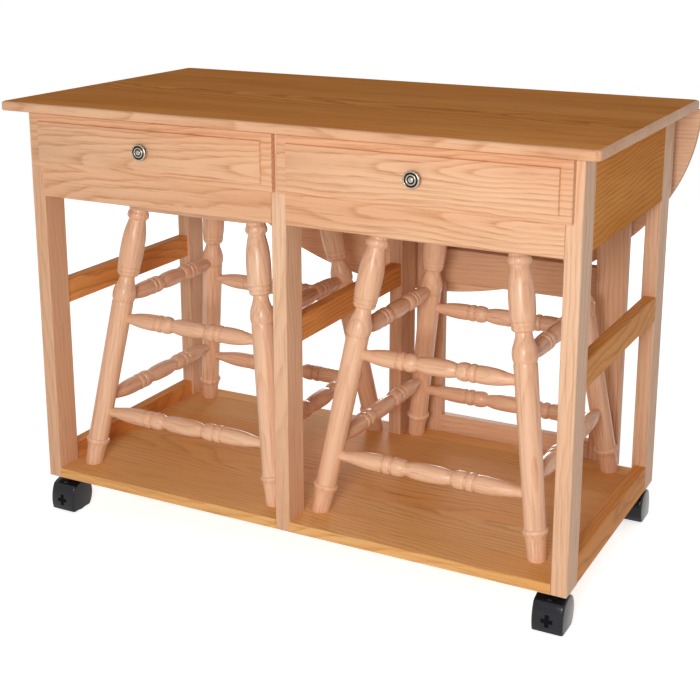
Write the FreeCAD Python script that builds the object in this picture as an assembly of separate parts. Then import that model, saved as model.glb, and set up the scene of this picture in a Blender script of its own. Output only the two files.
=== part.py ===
import FreeCAD
import Part
import math
import os

# Oak mobile bar: a two-drawer kitchen cart with a drop leaf, a swing-out gate
# that holds the leaf, four hooded casters and two turned stools under the top.
# Millimetres. X runs along the drawers, Y runs from the drawers to the leaf,
# Z is up from the floor. The origin is on the floor, midway under the bar.

# Top board and drop leaf
TOP_WIDTH = 1220.0
TOP_DEPTH = 660.0
TOP_HEIGHT = 880.0
TOP_THICKNESS = 18.0
TOP_CORNER_RADIUS = 14.0
TOP_EDGE_RADIUS = 5.0
TOP_LOWER_EASE = 3.0
FRONT_OVERHANG = 42.0
LEAF_REACH = 450.0
LEAF_GAP = 0.6
LEAF_EDGE_EASE = 4.0

# Post frame
SIDE_OVERHANG = 37.0
REAR_OVERHANG = 58.0
POST_FACE = 30.0
POST_DEPTH = 60.0
RAIL_THICKNESS = 25.0
APRON_HEIGHT = 170.0
APRON_THICKNESS = 19.0
MID_RAIL_TOP = 498.0
MID_RAIL_HEIGHT = 50.0
LOWER_RAIL_HEIGHT = 54.0
DRAWER_ROOM = 105.0
FRONT_RAIL_HEIGHT = 69.0
FRONT_RAIL_THICKNESS = 19.0
SHELF_THICKNESS = 20.0
BACK_APRON_THICKNESS = 12.0
TENON_LENGTH = 20.0
TENON_THICKNESS = 10.0
TENON_SHOULDER = 8.0
BOARD_EASE = 1.5

# Hinges of the leaf and of the gate
KNUCKLE_RADIUS = 3.5
KNUCKLE_GAP = 0.3
HINGE_LENGTH = 60.0
HINGE_PLATE_WIDTH = 20.0
HINGE_PLATE_THICKNESS = 1.5
HINGE_PIN_RADIUS = 1.5
PIN_CLEARANCE = 0.05
LEAF_HINGE_INSET = 250.0

# Gate under the leaf
GATE_END_ROOM = 51.0
GATE_STILE_WIDTH = 65.0
GATE_THICKNESS = 20.0
GATE_BOTTOM = 90.0
GATE_LEAF_GAP = 0.5
GATE_BARREL_GAP = 1.7
GATE_FACE_GAP = 1.0
GATE_SIDE_GAP = 3.0
GATE_TOP_RAIL_HEIGHT = 60.0
GATE_MID_RAIL_BOTTOM = 449.0
GATE_MID_RAIL_HEIGHT = 75.0
GATE_LOW_RAIL_TOP = 136.0
GATE_HINGE_INSET = 40.0

# Drawers
FRONT_END_REVEAL = 15.0
FRONT_HEIGHT = 108.0
FRONT_THICKNESS = 19.0
FRONT_TOP_GAP = 5.0
FRONT_CENTRE_GAP = 10.0
FIELD_END_MARGIN = 21.0
FIELD_TOP_MARGIN = 14.0
FIELD_RISE = 6.0
FIELD_SLOPE = 1.0
FRONT_EDGE_ROUND = 2.0
BOX_SIDE_CLEARANCE = 6.0
BOX_HEIGHT = 80.0
BOX_BACK_ROOM = 90.0
BOX_WALL = 12.0
BOX_BOTTOM_THICKNESS = 6.0
BOX_BOTTOM_RISE = 8.0
GROOVE_DEPTH = 5.0
RUNNER_HEIGHT = 20.0
RUNNER_LIP = 5.0
RUNNER_GUIDE_HEIGHT = 14.0
RUNNER_GUIDE_GAP = 0.8
KICKER_WIDTH = 20.0
KNOB_PLATE_RADIUS = 10.0
KNOB_PLATE_THICKNESS = 2.0
KNOB_STEM_RADIUS = 6.0
KNOB_RADIUS = 16.0
KNOB_PROJECTION = 19.0
KNOB_HEAD_THICKNESS = 7.0
KNOB_BUTTON_RADIUS = 9.0
KNOB_BUTTON_RISE = 1.5

# Casters
CASTER_HEIGHT = 80.0
CASTER_SIDE_INSET = 33.0
CASTER_END_INSET = 44.0
WHEEL_RADIUS = 29.0
WHEEL_WIDTH = 22.0
WHEEL_TRAIL = 15.0
AXLE_RADIUS = 3.0
AXLE_RUN = 0.05
HUB_WEB = 8.0
HUB_WEB_HALF_LENGTH = 20.0
HOOD_WALL = 2.5
HOOD_BOTTOM = 6.0
HOOD_TOP = 68.0
HOOD_HALF_LENGTH = 33.5
HOOD_NOSE_FOOT = 31.0
HOOD_TAIL_FOOT = 24.0
HOOD_SHOULDER_HALF = 25.0
HOOD_SHOULDER_HEIGHT = 60.0
HOOD_CROSS_WIDTH = 22.0
HOOD_CROSS_HEIGHT = 24.0
HOOD_CROSS_ARM = 8.0
HOOD_CROSS_DEPTH = 1.5
WHEEL_SIDE_GAP = 0.5
KINGPIN_RADIUS = 4.0
KINGPIN_CLEARANCE = 0.05
KINGPIN_END_GAP = 0.4
PLATE_SIZE = 42.0
PLATE_THICKNESS = 2.5
PLATE_BOSS_RADIUS = 12.0
SWIVEL_GAP = 0.3

# Stools
STOOL_HEAD_GAP = 7.7
STOOL_SEAT_SIZE = 340.0
STOOL_SEAT_THICKNESS = 30.0
STOOL_SEAT_CORNER = 50.0
STOOL_SEAT_EASE = 4.0
STOOL_FOOT_ROOM_X = 40.0
STOOL_FOOT_ROOM_Y = 56.0
STOOL_HEAD_INSET = 30.0
STOOL_SOCKET_DEPTH = 16.0
STOOL_TENON_RADIUS = 13.0
STOOL_LEFT_SHIFT_X = 2.0
STOOL_RIGHT_SHIFT_X = -13.0
STOOL_LEFT_SHIFT_Y = 4.0
STOOL_RIGHT_SHIFT_Y = 22.0
STRETCHER_END_RADIUS = 9.8
STRETCHER_BEAD_RADIUS = 17.4
STRETCHER_WAIST_RADIUS = 13.5
STRETCHER_BARREL_RADIUS = 16.8
LEG_RADIUS = 24.0

# Running gap between pieces on different bodies, and the overrun of all cuts
RUN_GAP = 0.3
OVERRUN = 1.0

# Turned leg: share of the height under the seat, then share of the leg's radius
LEG_SHARES = [
    (0.0, 0.95), (0.637, 0.95), (0.653, 1.0), (0.692, 1.0), (0.733, 0.61), (0.745, 0.92),
    (0.768, 0.92), (0.776, 1.03), (0.87, 1.03), (0.949, 0.83), (1.0, 0.83),
]

# Heights of the stretchers as shares of the height under the seat
FRONT_STRETCHER_SHARES = (0.576, 0.209)
SIDE_STRETCHER_SHARES = (0.653, 0.255)

# Turned stretcher, one half: share of the half length from the leg, then the radius there
STRETCHER_PROFILE_SHARES = [
    (0.0, STRETCHER_END_RADIUS), (0.14, STRETCHER_END_RADIUS), (0.36, STRETCHER_BEAD_RADIUS),
    (0.76, STRETCHER_BEAD_RADIUS), (0.76, STRETCHER_WAIST_RADIUS),
    (0.82, STRETCHER_WAIST_RADIUS), (0.82, STRETCHER_BARREL_RADIUS),
]

# Cosine over which an edge counts as parallel to an axis
PARALLEL_SHARE = 0.999

# Places worked out from the sizes above
UNDER_TOP = TOP_HEIGHT - TOP_THICKNESS
HALF_TOP = TOP_WIDTH / 2
HALF_FRAME = HALF_TOP - SIDE_OVERHANG
HALF_POST = POST_FACE / 2
HINGE_REACH = KNUCKLE_RADIUS + RUN_GAP
DEPTH_OVERALL = TOP_DEPTH + LEAF_GAP / 2 + HINGE_REACH + TOP_THICKNESS
TOP_FRONT = -DEPTH_OVERALL / 2
TOP_BACK = TOP_FRONT + TOP_DEPTH
FRAME_FRONT = TOP_FRONT + FRONT_OVERHANG
FRAME_BACK = TOP_BACK - REAR_OVERHANG
FRAME_MIDDLE = (FRAME_FRONT + FRAME_BACK) / 2
BAY_INNER = HALF_POST
BAY_OUTER = HALF_FRAME - POST_FACE
BAY_MIDDLE = (BAY_INNER + BAY_OUTER) / 2
POST_BOTTOM = CASTER_HEIGHT
SHELF_TOP = POST_BOTTOM + SHELF_THICKNESS
POST_CENTRES = {"left": HALF_POST - HALF_FRAME, "centre": 0, "right": HALF_FRAME - HALF_POST}
RAIL_CENTRES = {
    "left": RAIL_THICKNESS / 2 - HALF_FRAME, "centre": 0,
    "right": HALF_FRAME - RAIL_THICKNESS / 2,
}
APRON_CENTRES = {
    "left": APRON_THICKNESS / 2 - HALF_FRAME, "centre": 0,
    "right": HALF_FRAME - APRON_THICKNESS / 2,
}
RAIL_FRONT = FRAME_FRONT + POST_DEPTH
RAIL_BACK = FRAME_BACK - POST_DEPTH
LEAF_AXIS_Y = TOP_BACK + LEAF_GAP / 2
LEAF_AXIS_Z = UNDER_TOP - HINGE_REACH
APRON_BACK = FRAME_BACK + BACK_APRON_THICKNESS
FRONT_RAIL_TOP = UNDER_TOP - DRAWER_ROOM
FRONT_RAIL_BOTTOM = FRONT_RAIL_TOP - FRONT_RAIL_HEIGHT
FRONT_WIDTH = HALF_FRAME - FRONT_END_REVEAL - FRONT_CENTRE_GAP / 2
GATE_LEFT = BAY_INNER + GATE_SIDE_GAP
GATE_RIGHT = BAY_OUTER - GATE_END_ROOM
GATE_FRONT = APRON_BACK + GATE_FACE_GAP
GATE_BACK = GATE_FRONT + GATE_THICKNESS
GATE_TOP = UNDER_TOP - GATE_LEAF_GAP
GATE_RAIL_TOP = LEAF_AXIS_Z - KNUCKLE_RADIUS - GATE_BARREL_GAP
GATE_AXIS_X = GATE_LEFT - HINGE_REACH
GATE_AXIS_Y = APRON_BACK + HINGE_REACH
BOX_UNDERSIDE = FRONT_RAIL_TOP + RUN_GAP
DRAWER_BACK = FRAME_FRONT - RUN_GAP
DRAWER_FACE = DRAWER_BACK - FRONT_THICKNESS
STOOL_BASE = SHELF_TOP + RUN_GAP
SEAT_BOTTOM = FRONT_RAIL_BOTTOM - STOOL_HEAD_GAP - STOOL_SEAT_THICKNESS
STOOL_RISE = SEAT_BOTTOM - STOOL_BASE
FOOT_SPREAD_X = BAY_OUTER - BAY_MIDDLE - STOOL_FOOT_ROOM_X
FOOT_SPREAD_Y = FRAME_BACK - FRAME_MIDDLE - STOOL_FOOT_ROOM_Y
HEAD_SPREAD = STOOL_SEAT_SIZE / 2 - STOOL_HEAD_INSET


def vec(x, y, z):
    return FreeCAD.Vector(x, y, z)


def box(x0, x1, y0, y1, z0, z1):
    return Part.makeBox(x1 - x0, y1 - y0, z1 - z0, vec(x0, y0, z0))


def cylinder(radius, length, start, direction):
    return Part.makeCylinder(radius, length, start, direction)


def along(shape, axis):
    """The straight edges of a shape that run along one axis."""
    found = []
    for edge in shape.Edges:
        if isinstance(edge.Curve, Part.Line) and abs(edge.Curve.Direction.dot(axis)) > PARALLEL_SHARE:
            found.append(edge)
    return found


def level_edges(shape, height):
    """The edges of a shape that lie in one level plane."""
    return [edge for edge in shape.Edges
            if abs(edge.BoundBox.ZMin - height) < RUN_GAP and abs(edge.BoundBox.ZMax - height) < RUN_GAP]


def board(x0, x1, y0, y1, z0, z1, grain):
    """A planed board, its long edges eased along the grain."""
    blank = box(x0, x1, y0, y1, z0, z1)
    return blank.makeChamfer(BOARD_EASE, along(blank, grain))


def save(name, *solids):
    shape = solids[0] if len(solids) == 1 else Part.makeCompound(list(solids))
    shape.exportStep("parts/" + name + ".step")


def turned(points, start, direction):
    """A turned solid: points are (distance along the axis, radius)."""
    corners = [vec(0, 0, points[0][0])]
    corners += [vec(radius, 0, place) for place, radius in points]
    corners += [vec(0, 0, points[-1][0])]
    profile = Part.Face(Part.makePolygon(corners + corners[:1]))
    solid = profile.revolve(vec(0, 0, 0), vec(0, 0, 1), 360)
    turn = FreeCAD.Rotation(vec(0, 0, 1), direction)
    return solid.transformed(FreeCAD.Placement(start, turn).toMatrix())


X_AXIS = vec(1, 0, 0)
Y_AXIS = vec(0, 1, 0)
Z_AXIS = vec(0, 0, 1)


def top_board():
    """The edge-glued top, round at its corners and along its rim."""
    blank = box(-HALF_TOP, HALF_TOP, TOP_FRONT, TOP_BACK, UNDER_TOP, TOP_HEIGHT)
    blank = blank.makeFillet(TOP_CORNER_RADIUS, along(blank, Z_AXIS))
    upper = level_edges(blank, TOP_HEIGHT)
    blank = blank.makeFillet(TOP_EDGE_RADIUS, upper)
    lower = level_edges(blank, UNDER_TOP)
    save("top_board", blank.makeChamfer(TOP_LOWER_EASE, lower))


def rail_tenons(x, half_width, bottom, top):
    """Two tenons of a rail that runs from the front post to the rear post."""
    low, high = bottom + TENON_SHOULDER, top - TENON_SHOULDER
    front = box(x - half_width, x + half_width, RAIL_FRONT - TENON_LENGTH, RAIL_FRONT, low, high)
    rear = box(x - half_width, x + half_width, RAIL_BACK, RAIL_BACK + TENON_LENGTH, low, high)
    return front, rear


def end_frames():
    """The left, centre and right frames: two posts each, an apron and rails between them."""
    half_tenon = TENON_THICKNESS / 2
    rails = []
    for side in POST_CENTRES:
        rails.append(("apron_" + side, side, APRON_CENTRES[side], APRON_THICKNESS,
                      UNDER_TOP - APRON_HEIGHT, UNDER_TOP))
        rails.append(("mid_rail_" + side, side, RAIL_CENTRES[side], RAIL_THICKNESS,
                      MID_RAIL_TOP - MID_RAIL_HEIGHT, MID_RAIL_TOP))
        if side != "centre":
            rails.append(("lower_rail_" + side, side, RAIL_CENTRES[side], RAIL_THICKNESS,
                          POST_BOTTOM, POST_BOTTOM + LOWER_RAIL_HEIGHT))
    mortises = {"left": [], "centre": [], "right": []}
    for name, side, x, thickness, bottom, top in rails:
        rail = board(x - thickness / 2, x + thickness / 2, RAIL_FRONT, RAIL_BACK, bottom, top, Y_AXIS)
        tenons = rail_tenons(x, half_tenon, bottom, top)
        mortises[side] += tenons
        save(name, rail.fuse(tenons).removeSplitter())
    for side, x in POST_CENTRES.items():
        for end, y in (("front", FRAME_FRONT), ("rear", RAIL_BACK)):
            post = board(x - HALF_POST, x + HALF_POST, y, y + POST_DEPTH,
                         POST_BOTTOM, UNDER_TOP, Z_AXIS)
            save("post_" + end + "_" + side, post.cut(mortises[side]))


def front_rails():
    """The rail under each drawer, level with the faces of the posts."""
    for side, x0, x1 in (("left", -BAY_OUTER, -BAY_INNER), ("right", BAY_INNER, BAY_OUTER)):
        rail = board(x0, x1, FRAME_FRONT, FRAME_FRONT + FRONT_RAIL_THICKNESS,
                     FRONT_RAIL_BOTTOM, FRONT_RAIL_TOP, X_AXIS)
        save("front_rail_" + side, rail)


def base_shelf():
    """The bottom board, notched round the six posts, with its front edge showing between them."""
    half = HALF_FRAME - RAIL_THICKNESS
    shelf = box(-half, half, FRAME_FRONT, FRAME_BACK, POST_BOTTOM, SHELF_TOP)
    notches = []
    for x in POST_CENTRES.values():
        for y in (FRAME_FRONT, RAIL_BACK):
            notches.append(box(x - HALF_POST, x + HALF_POST, y, y + POST_DEPTH,
                               POST_BOTTOM - OVERRUN, SHELF_TOP + OVERRUN))
    save("base_shelf", shelf.cut(notches))


def back_apron():
    """The long rear apron over the posts, and the strip under it that carries the gate."""
    low = UNDER_TOP - APRON_HEIGHT
    apron = board(-HALF_FRAME, HALF_FRAME, FRAME_BACK, APRON_BACK, low, UNDER_TOP, X_AXIS)
    save("back_apron", apron)
    strip = board(-HALF_POST, HALF_POST, FRAME_BACK, APRON_BACK, POST_BOTTOM, low, Z_AXIS)
    save("gate_hanging_strip", strip)


def bay_edges():
    """For each bay, the outer and inner faces that the drawer box runs between."""
    outer = BAY_OUTER - BOX_SIDE_CLEARANCE
    inner = BAY_INNER + BOX_SIDE_CLEARANCE
    return {"left": (-outer, -inner), "right": (inner, outer)}


def drawer_runners():
    """A stepped runner under each drawer side and a kicker strip over it."""
    solids = []
    top = BOX_UNDERSIDE - RUN_GAP
    box_top = BOX_UNDERSIDE + BOX_HEIGHT
    reach = BOX_WALL + RUNNER_LIP
    apron_face = HALF_FRAME - APRON_THICKNESS
    for left, right in bay_edges().values():
        low_face = -apron_face if left < 0 else APRON_THICKNESS / 2
        high_face = -APRON_THICKNESS / 2 if left < 0 else apron_face
        for face, side, inward in ((low_face, left, 1), (high_face, right, -1)):
            lip = side + inward * reach
            guide = side - inward * RUNNER_GUIDE_GAP
            shelf = box(min(face, lip), max(face, lip), RAIL_FRONT, RAIL_BACK, top - RUNNER_HEIGHT, top)
            fence = box(min(face, guide), max(face, guide), RAIL_FRONT, RAIL_BACK,
                        top, top + RUNNER_GUIDE_HEIGHT)
            solids.append(shelf.fuse(fence).removeSplitter())
            edge = face + inward * (abs(side - face) + BOX_WALL)
            solids.append(box(min(face, edge), max(face, edge), RAIL_FRONT, RAIL_BACK,
                              box_top + RUN_GAP, UNDER_TOP))
    save("drawer_runners", *solids)


def drawer_front(x0, x1):
    """An overlay front with a raised field, its step sloped like a planed panel."""
    top = UNDER_TOP - FRONT_TOP_GAP
    low = top - FRONT_HEIGHT
    slab = box(x0, x1, DRAWER_FACE + FIELD_RISE, DRAWER_BACK, low, top)
    rim = [edge for edge in slab.Edges if edge.BoundBox.YMax < DRAWER_BACK - OVERRUN]
    slab = slab.makeFillet(FRONT_EDGE_ROUND, rim)
    loops = []
    for y, grow in ((DRAWER_FACE + FIELD_RISE, FIELD_SLOPE), (DRAWER_FACE, 0)):
        xa, xb = x0 + FIELD_END_MARGIN - grow, x1 - FIELD_END_MARGIN + grow
        za, zb = low + FIELD_TOP_MARGIN - grow, top - FIELD_TOP_MARGIN + grow
        loops.append(Part.makePolygon([vec(xa, y, za), vec(xb, y, za), vec(xb, y, zb),
                                       vec(xa, y, zb), vec(xa, y, za)]))
    field = Part.makeLoft(loops, True, True)
    return slab.fuse(field).removeSplitter()


def knob(x):
    """A round metal knob: a small foot, a stem and a broad head with a raised button."""
    height = UNDER_TOP - FRONT_TOP_GAP - FRONT_HEIGHT / 2
    head_back = KNOB_PROJECTION - KNOB_HEAD_THICKNESS
    brow = KNOB_PROJECTION - KNOB_BUTTON_RISE
    outline = [
        (0, KNOB_PLATE_RADIUS), (KNOB_PLATE_THICKNESS, KNOB_PLATE_RADIUS),
        (KNOB_PLATE_THICKNESS, KNOB_STEM_RADIUS), (head_back, KNOB_STEM_RADIUS),
        (head_back, KNOB_RADIUS), (brow, KNOB_RADIUS),
        (brow, KNOB_BUTTON_RADIUS), (KNOB_PROJECTION, KNOB_BUTTON_RADIUS),
    ]
    return turned(outline, vec(x, DRAWER_FACE, height), vec(0, -1, 0))


def drawers():
    """Two drawers: grooved sides and front, a back, a loose bottom panel and a knob each."""
    gap = FRONT_CENTRE_GAP / 2
    spans = {"left": (-gap - FRONT_WIDTH, -gap), "right": (gap, gap + FRONT_WIDTH)}
    panel_low = BOX_UNDERSIDE + BOX_BOTTOM_RISE
    for side, (x0, x1) in bay_edges().items():
        y0, y1 = DRAWER_BACK, FRAME_BACK - BOX_BACK_ROOM
        z0, z1 = BOX_UNDERSIDE, BOX_UNDERSIDE + BOX_HEIGHT
        panel = box(x0 + BOX_WALL - GROOVE_DEPTH, x1 - BOX_WALL + GROOVE_DEPTH, y0 - GROOVE_DEPTH,
                    y1 - BOX_WALL + GROOVE_DEPTH, panel_low, panel_low + BOX_BOTTOM_THICKNESS)
        walls = [box(x0, x0 + BOX_WALL, y0, y1, z0, z1), box(x1 - BOX_WALL, x1, y0, y1, z0, z1)]
        back = box(x0 + BOX_WALL, x1 - BOX_WALL, y1 - BOX_WALL, y1, z0, z1)
        face_left, face_right = spans[side]
        front = drawer_front(face_left, face_right)
        save("drawer_front_" + side, front.cut(panel))
        save("drawer_sides_" + side, *[wall.cut(panel) for wall in walls])
        save("drawer_back_" + side, back.cut(panel))
        save("drawer_bottom_" + side, panel)
        save("drawer_knob_" + side, knob((face_left + face_right) / 2))


def drop_leaf():
    """The half-ellipse leaf, hanging from the back edge of the top."""
    oval = Part.Ellipse(vec(0, 0, 0), HALF_TOP, LEAF_REACH)
    rim = Part.ArcOfEllipse(oval, math.pi, 2 * math.pi).toShape()
    edge = Part.makeLine(vec(HALF_TOP, 0, 0), vec(-HALF_TOP, 0, 0))
    face = Part.Face(Part.Wire([rim, edge]))
    face.rotate(vec(0, 0, 0), X_AXIS, 90)
    inner = LEAF_AXIS_Y + HINGE_REACH
    face.translate(vec(0, inner, LEAF_AXIS_Z - LEAF_GAP / 2))
    leaf = face.extrude(vec(0, TOP_THICKNESS, 0))
    curved = [e for e in leaf.Edges if isinstance(e.Curve, Part.Ellipse)]
    save("drop_leaf", leaf.makeChamfer(LEAF_EDGE_EASE, curved))


def hinge(place, along_pin, fixed_way, moving_way, fixed_out, moving_out):
    """Fixed leaf, moving leaf and pin of one butt hinge at a point on the pin's axis.

    Each way points from the pin into its plate, and each out points from the
    pin to the wood that the plate lies on.
    """
    third = HINGE_LENGTH / 3
    leaves = []
    for way, out, spans, bore in (
        (fixed_way, fixed_out, ((0, 1), (2, 3)), HINGE_PIN_RADIUS),
        (moving_way, moving_out, ((1, 2),), HINGE_PIN_RADIUS + PIN_CLEARANCE),
    ):
        start = place - along_pin * (HINGE_LENGTH / 2)
        solid = slab(start, along_pin, HINGE_LENGTH, way, HINGE_REACH, HINGE_PLATE_WIDTH, out)
        for first, last in spans:
            low = first * third + (KNUCKLE_GAP / 2 if first else 0)
            high = last * third - (KNUCKLE_GAP / 2 if last < 3 else 0)
            foot = start + along_pin * low
            knuckle = cylinder(KNUCKLE_RADIUS, high - low, foot, along_pin)
            tab = slab(foot, along_pin, high - low, way, 0, HINGE_REACH, out)
            solid = solid.fuse([knuckle, tab])
        hole = cylinder(bore, HINGE_LENGTH + 2 * OVERRUN, start - along_pin * OVERRUN, along_pin)
        leaves.append(solid.cut(hole).removeSplitter())
    pin = cylinder(HINGE_PIN_RADIUS, HINGE_LENGTH, place - along_pin * (HINGE_LENGTH / 2), along_pin)
    return leaves[0], leaves[1], pin


def slab(start, along_pin, length, way, near, far, out):
    """A strip of hinge plate between two distances from the pin, lying against the wood."""
    lift = HINGE_REACH - HINGE_PLATE_THICKNESS
    a = start + way * near + out * lift
    b = a + along_pin * length + way * (far - near) + out * HINGE_PLATE_THICKNESS
    return box(min(a.x, b.x), max(a.x, b.x), min(a.y, b.y), max(a.y, b.y), min(a.z, b.z), max(a.z, b.z))


def leaf_hinges():
    """Three hinges under the back edge of the top."""
    reach = HALF_TOP - LEAF_HINGE_INSET
    made = [hinge(vec(x, LEAF_AXIS_Y, LEAF_AXIS_Z), X_AXIS, vec(0, -1, 0), vec(0, 0, -1),
                  vec(0, 0, 1), vec(0, 1, 0)) for x in (-reach, 0, reach)]
    save("leaf_hinge_top_plates", *[group[0] for group in made])
    save("leaf_hinge_leaf_plates", *[group[1] for group in made])
    save("leaf_hinge_pins", *[group[2] for group in made])


def gate_hinges():
    """Two hinges between the hanging strip behind the centre post and the gate."""
    low = GATE_BOTTOM + GATE_HINGE_INSET + HINGE_LENGTH / 2
    high = GATE_RAIL_TOP - GATE_HINGE_INSET - HINGE_LENGTH / 2
    made = [hinge(vec(GATE_AXIS_X, GATE_AXIS_Y, z), Z_AXIS, vec(-1, 0, 0), vec(0, 1, 0),
                  vec(0, -1, 0), vec(1, 0, 0)) for z in (low, high)]
    save("gate_hinge_strip_plates", *[group[0] for group in made])
    save("gate_hinge_gate_plates", *[group[1] for group in made])
    save("gate_hinge_pins", *[group[2] for group in made])


def gate():
    """The swing-out gate: two stiles with three tenoned rails.

    Its free stile stands higher than the rest and bears the raised leaf. The
    rest passes under the barrels of the leaf's hinges.
    """
    inner_left = GATE_LEFT + GATE_STILE_WIDTH
    inner_right = GATE_RIGHT - GATE_STILE_WIDTH
    levels = [(GATE_RAIL_TOP - GATE_TOP_RAIL_HEIGHT, GATE_RAIL_TOP),
              (GATE_MID_RAIL_BOTTOM, GATE_MID_RAIL_BOTTOM + GATE_MID_RAIL_HEIGHT),
              (GATE_BOTTOM, GATE_LOW_RAIL_TOP)]
    middle = (GATE_FRONT + GATE_BACK) / 2
    rails, tenons = [], []
    for bottom, top in levels:
        rail = board(inner_left, inner_right, GATE_FRONT, GATE_BACK, bottom, top, X_AXIS)
        tenon = box(inner_left - TENON_LENGTH, inner_right + TENON_LENGTH,
                    middle - TENON_THICKNESS / 2, middle + TENON_THICKNESS / 2,
                    bottom + TENON_SHOULDER, top - TENON_SHOULDER)
        tenons.append(tenon)
        rails.append(rail.fuse(tenon).removeSplitter())
    for name, x0, x1, top in (("gate_hinge_stile", GATE_LEFT, inner_left, GATE_RAIL_TOP),
                              ("gate_free_stile", inner_right, GATE_RIGHT, GATE_TOP)):
        stile = board(x0, x1, GATE_FRONT, GATE_BACK, GATE_BOTTOM, top, Z_AXIS)
        save(name, stile.cut(tenons))
    save("gate_rails", *rails)


def hood_outline(shrink):
    """Side outline of the caster hood, about the axle, drawn in by a wall. Its nose is at +X."""
    foot = HOOD_BOTTOM - WHEEL_RADIUS
    shoulder = HOOD_SHOULDER_HEIGHT - WHEEL_RADIUS
    top = HOOD_TOP - WHEEL_RADIUS - shrink
    low = foot - OVERRUN if shrink else foot
    belly = HOOD_HALF_LENGTH - shrink
    nose_foot = vec(HOOD_NOSE_FOOT - shrink, 0, low)
    tail_foot = vec(shrink - HOOD_TAIL_FOOT, 0, low)
    nose_shoulder = vec(HOOD_SHOULDER_HALF - shrink, 0, shoulder - shrink)
    tail_shoulder = vec(shrink - HOOD_SHOULDER_HALF, 0, shoulder - shrink)
    nose = Part.Arc(nose_foot, vec(belly, 0, 0), nose_shoulder).toShape()
    crown = Part.Arc(nose_shoulder, vec(0, 0, top), tail_shoulder).toShape()
    tail = Part.Arc(tail_shoulder, vec(-belly, 0, 0), tail_foot).toShape()
    base = Part.makeLine(tail_foot, nose_foot)
    return Part.Face(Part.Wire([nose, crown, tail, base]))


def caster_plate(x, y):
    """The fixed top plate with the boss that the kingpin turns in."""
    half = PLATE_SIZE / 2
    under = CASTER_HEIGHT - PLATE_THICKNESS
    plate = box(x - half, x + half, y - half, y + half, under, CASTER_HEIGHT)
    boss_foot = HOOD_TOP + SWIVEL_GAP
    boss = cylinder(PLATE_BOSS_RADIUS, under - boss_foot, vec(x, y, boss_foot), Z_AXIS)
    bore = cylinder(KINGPIN_RADIUS + KINGPIN_CLEARANCE, CASTER_HEIGHT, vec(x, y, 0), Z_AXIS)
    return plate.fuse(boss).removeSplitter().cut(bore)


def caster_hood():
    """The hood with its web, kingpin and the cross sunk in its nose, the kingpin on the Z axis."""
    half_width = HUB_WEB / 2 + WHEEL_WIDTH + 2 * WHEEL_SIDE_GAP
    outer = hood_outline(0).extrude(vec(0, 2 * (half_width + HOOD_WALL), 0))
    outer.translate(vec(WHEEL_TRAIL, -half_width - HOOD_WALL, WHEEL_RADIUS))
    hollow = hood_outline(HOOD_WALL).extrude(vec(0, 2 * half_width, 0))
    hollow.translate(vec(WHEEL_TRAIL, -half_width, WHEEL_RADIUS))
    web_top = HOOD_TOP - HOOD_WALL - OVERRUN
    web = box(WHEEL_TRAIL - HUB_WEB_HALF_LENGTH, WHEEL_TRAIL + HUB_WEB_HALF_LENGTH,
              -HUB_WEB / 2, HUB_WEB / 2, WHEEL_RADIUS - 2 * AXLE_RADIUS, web_top)
    socket = box(-KINGPIN_RADIUS, KINGPIN_RADIUS, -HUB_WEB / 2, HUB_WEB / 2, HOOD_SHOULDER_HEIGHT, web_top)
    pin_length = CASTER_HEIGHT - KINGPIN_END_GAP - web_top
    kingpin = cylinder(KINGPIN_RADIUS, pin_length, vec(0, 0, web_top), Z_AXIS)
    nose = WHEEL_TRAIL + HOOD_HALF_LENGTH
    cross = []
    for wide, tall in ((HOOD_CROSS_WIDTH, HOOD_CROSS_ARM), (HOOD_CROSS_ARM, HOOD_CROSS_HEIGHT)):
        cross.append(box(nose - HOOD_CROSS_DEPTH, nose + OVERRUN, -wide / 2, wide / 2,
                         WHEEL_RADIUS - tall / 2, WHEEL_RADIUS + tall / 2))
    return outer.cut(hollow).fuse([web, socket, kingpin]).cut(cross)


def caster_pieces():
    """Hood, axle and twin wheels of one caster, its nose at +X and its kingpin on the Z axis."""
    half_axle = HUB_WEB / 2 + WHEEL_WIDTH + WHEEL_SIDE_GAP
    axle = cylinder(AXLE_RADIUS, 2 * half_axle, vec(WHEEL_TRAIL, -half_axle, WHEEL_RADIUS), Y_AXIS)
    hood = caster_hood().cut(axle).removeSplitter()
    bore = AXLE_RADIUS + AXLE_RUN
    wheels = []
    for way in (-1, 1):
        start = vec(WHEEL_TRAIL, way * (HUB_WEB / 2 + WHEEL_SIDE_GAP), WHEEL_RADIUS)
        wheel = cylinder(WHEEL_RADIUS, WHEEL_WIDTH, start, vec(0, way, 0))
        hole = cylinder(bore, WHEEL_WIDTH + 2 * OVERRUN, start - vec(0, way * OVERRUN, 0), vec(0, way, 0))
        wheels.append(wheel.cut(hole))
    return hood, axle, wheels[0], wheels[1]


def casters():
    """Four twin-wheel casters, their noses turned to the front and to the back of the bar."""
    reach_x = HALF_FRAME - CASTER_SIDE_INSET
    low, high = FRAME_FRONT + CASTER_END_INSET, FRAME_BACK - CASTER_END_INSET
    plates = []
    for end, y, turn in (("front", low, -90), ("rear", high, 90)):
        for side, x in (("left", -reach_x), ("right", reach_x)):
            plates.append(caster_plate(x, y))
            place = FreeCAD.Placement(vec(x, y, 0), FreeCAD.Rotation(Z_AXIS, turn)).toMatrix()
            hood, axle, inner, outer = [piece.transformed(place) for piece in caster_pieces()]
            save("caster_hood_" + end + "_" + side, hood)
            save("caster_axle_" + end + "_" + side, axle)
            save("caster_wheels_" + end + "_" + side, inner, outer)
    save("caster_plates", *plates)


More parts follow.
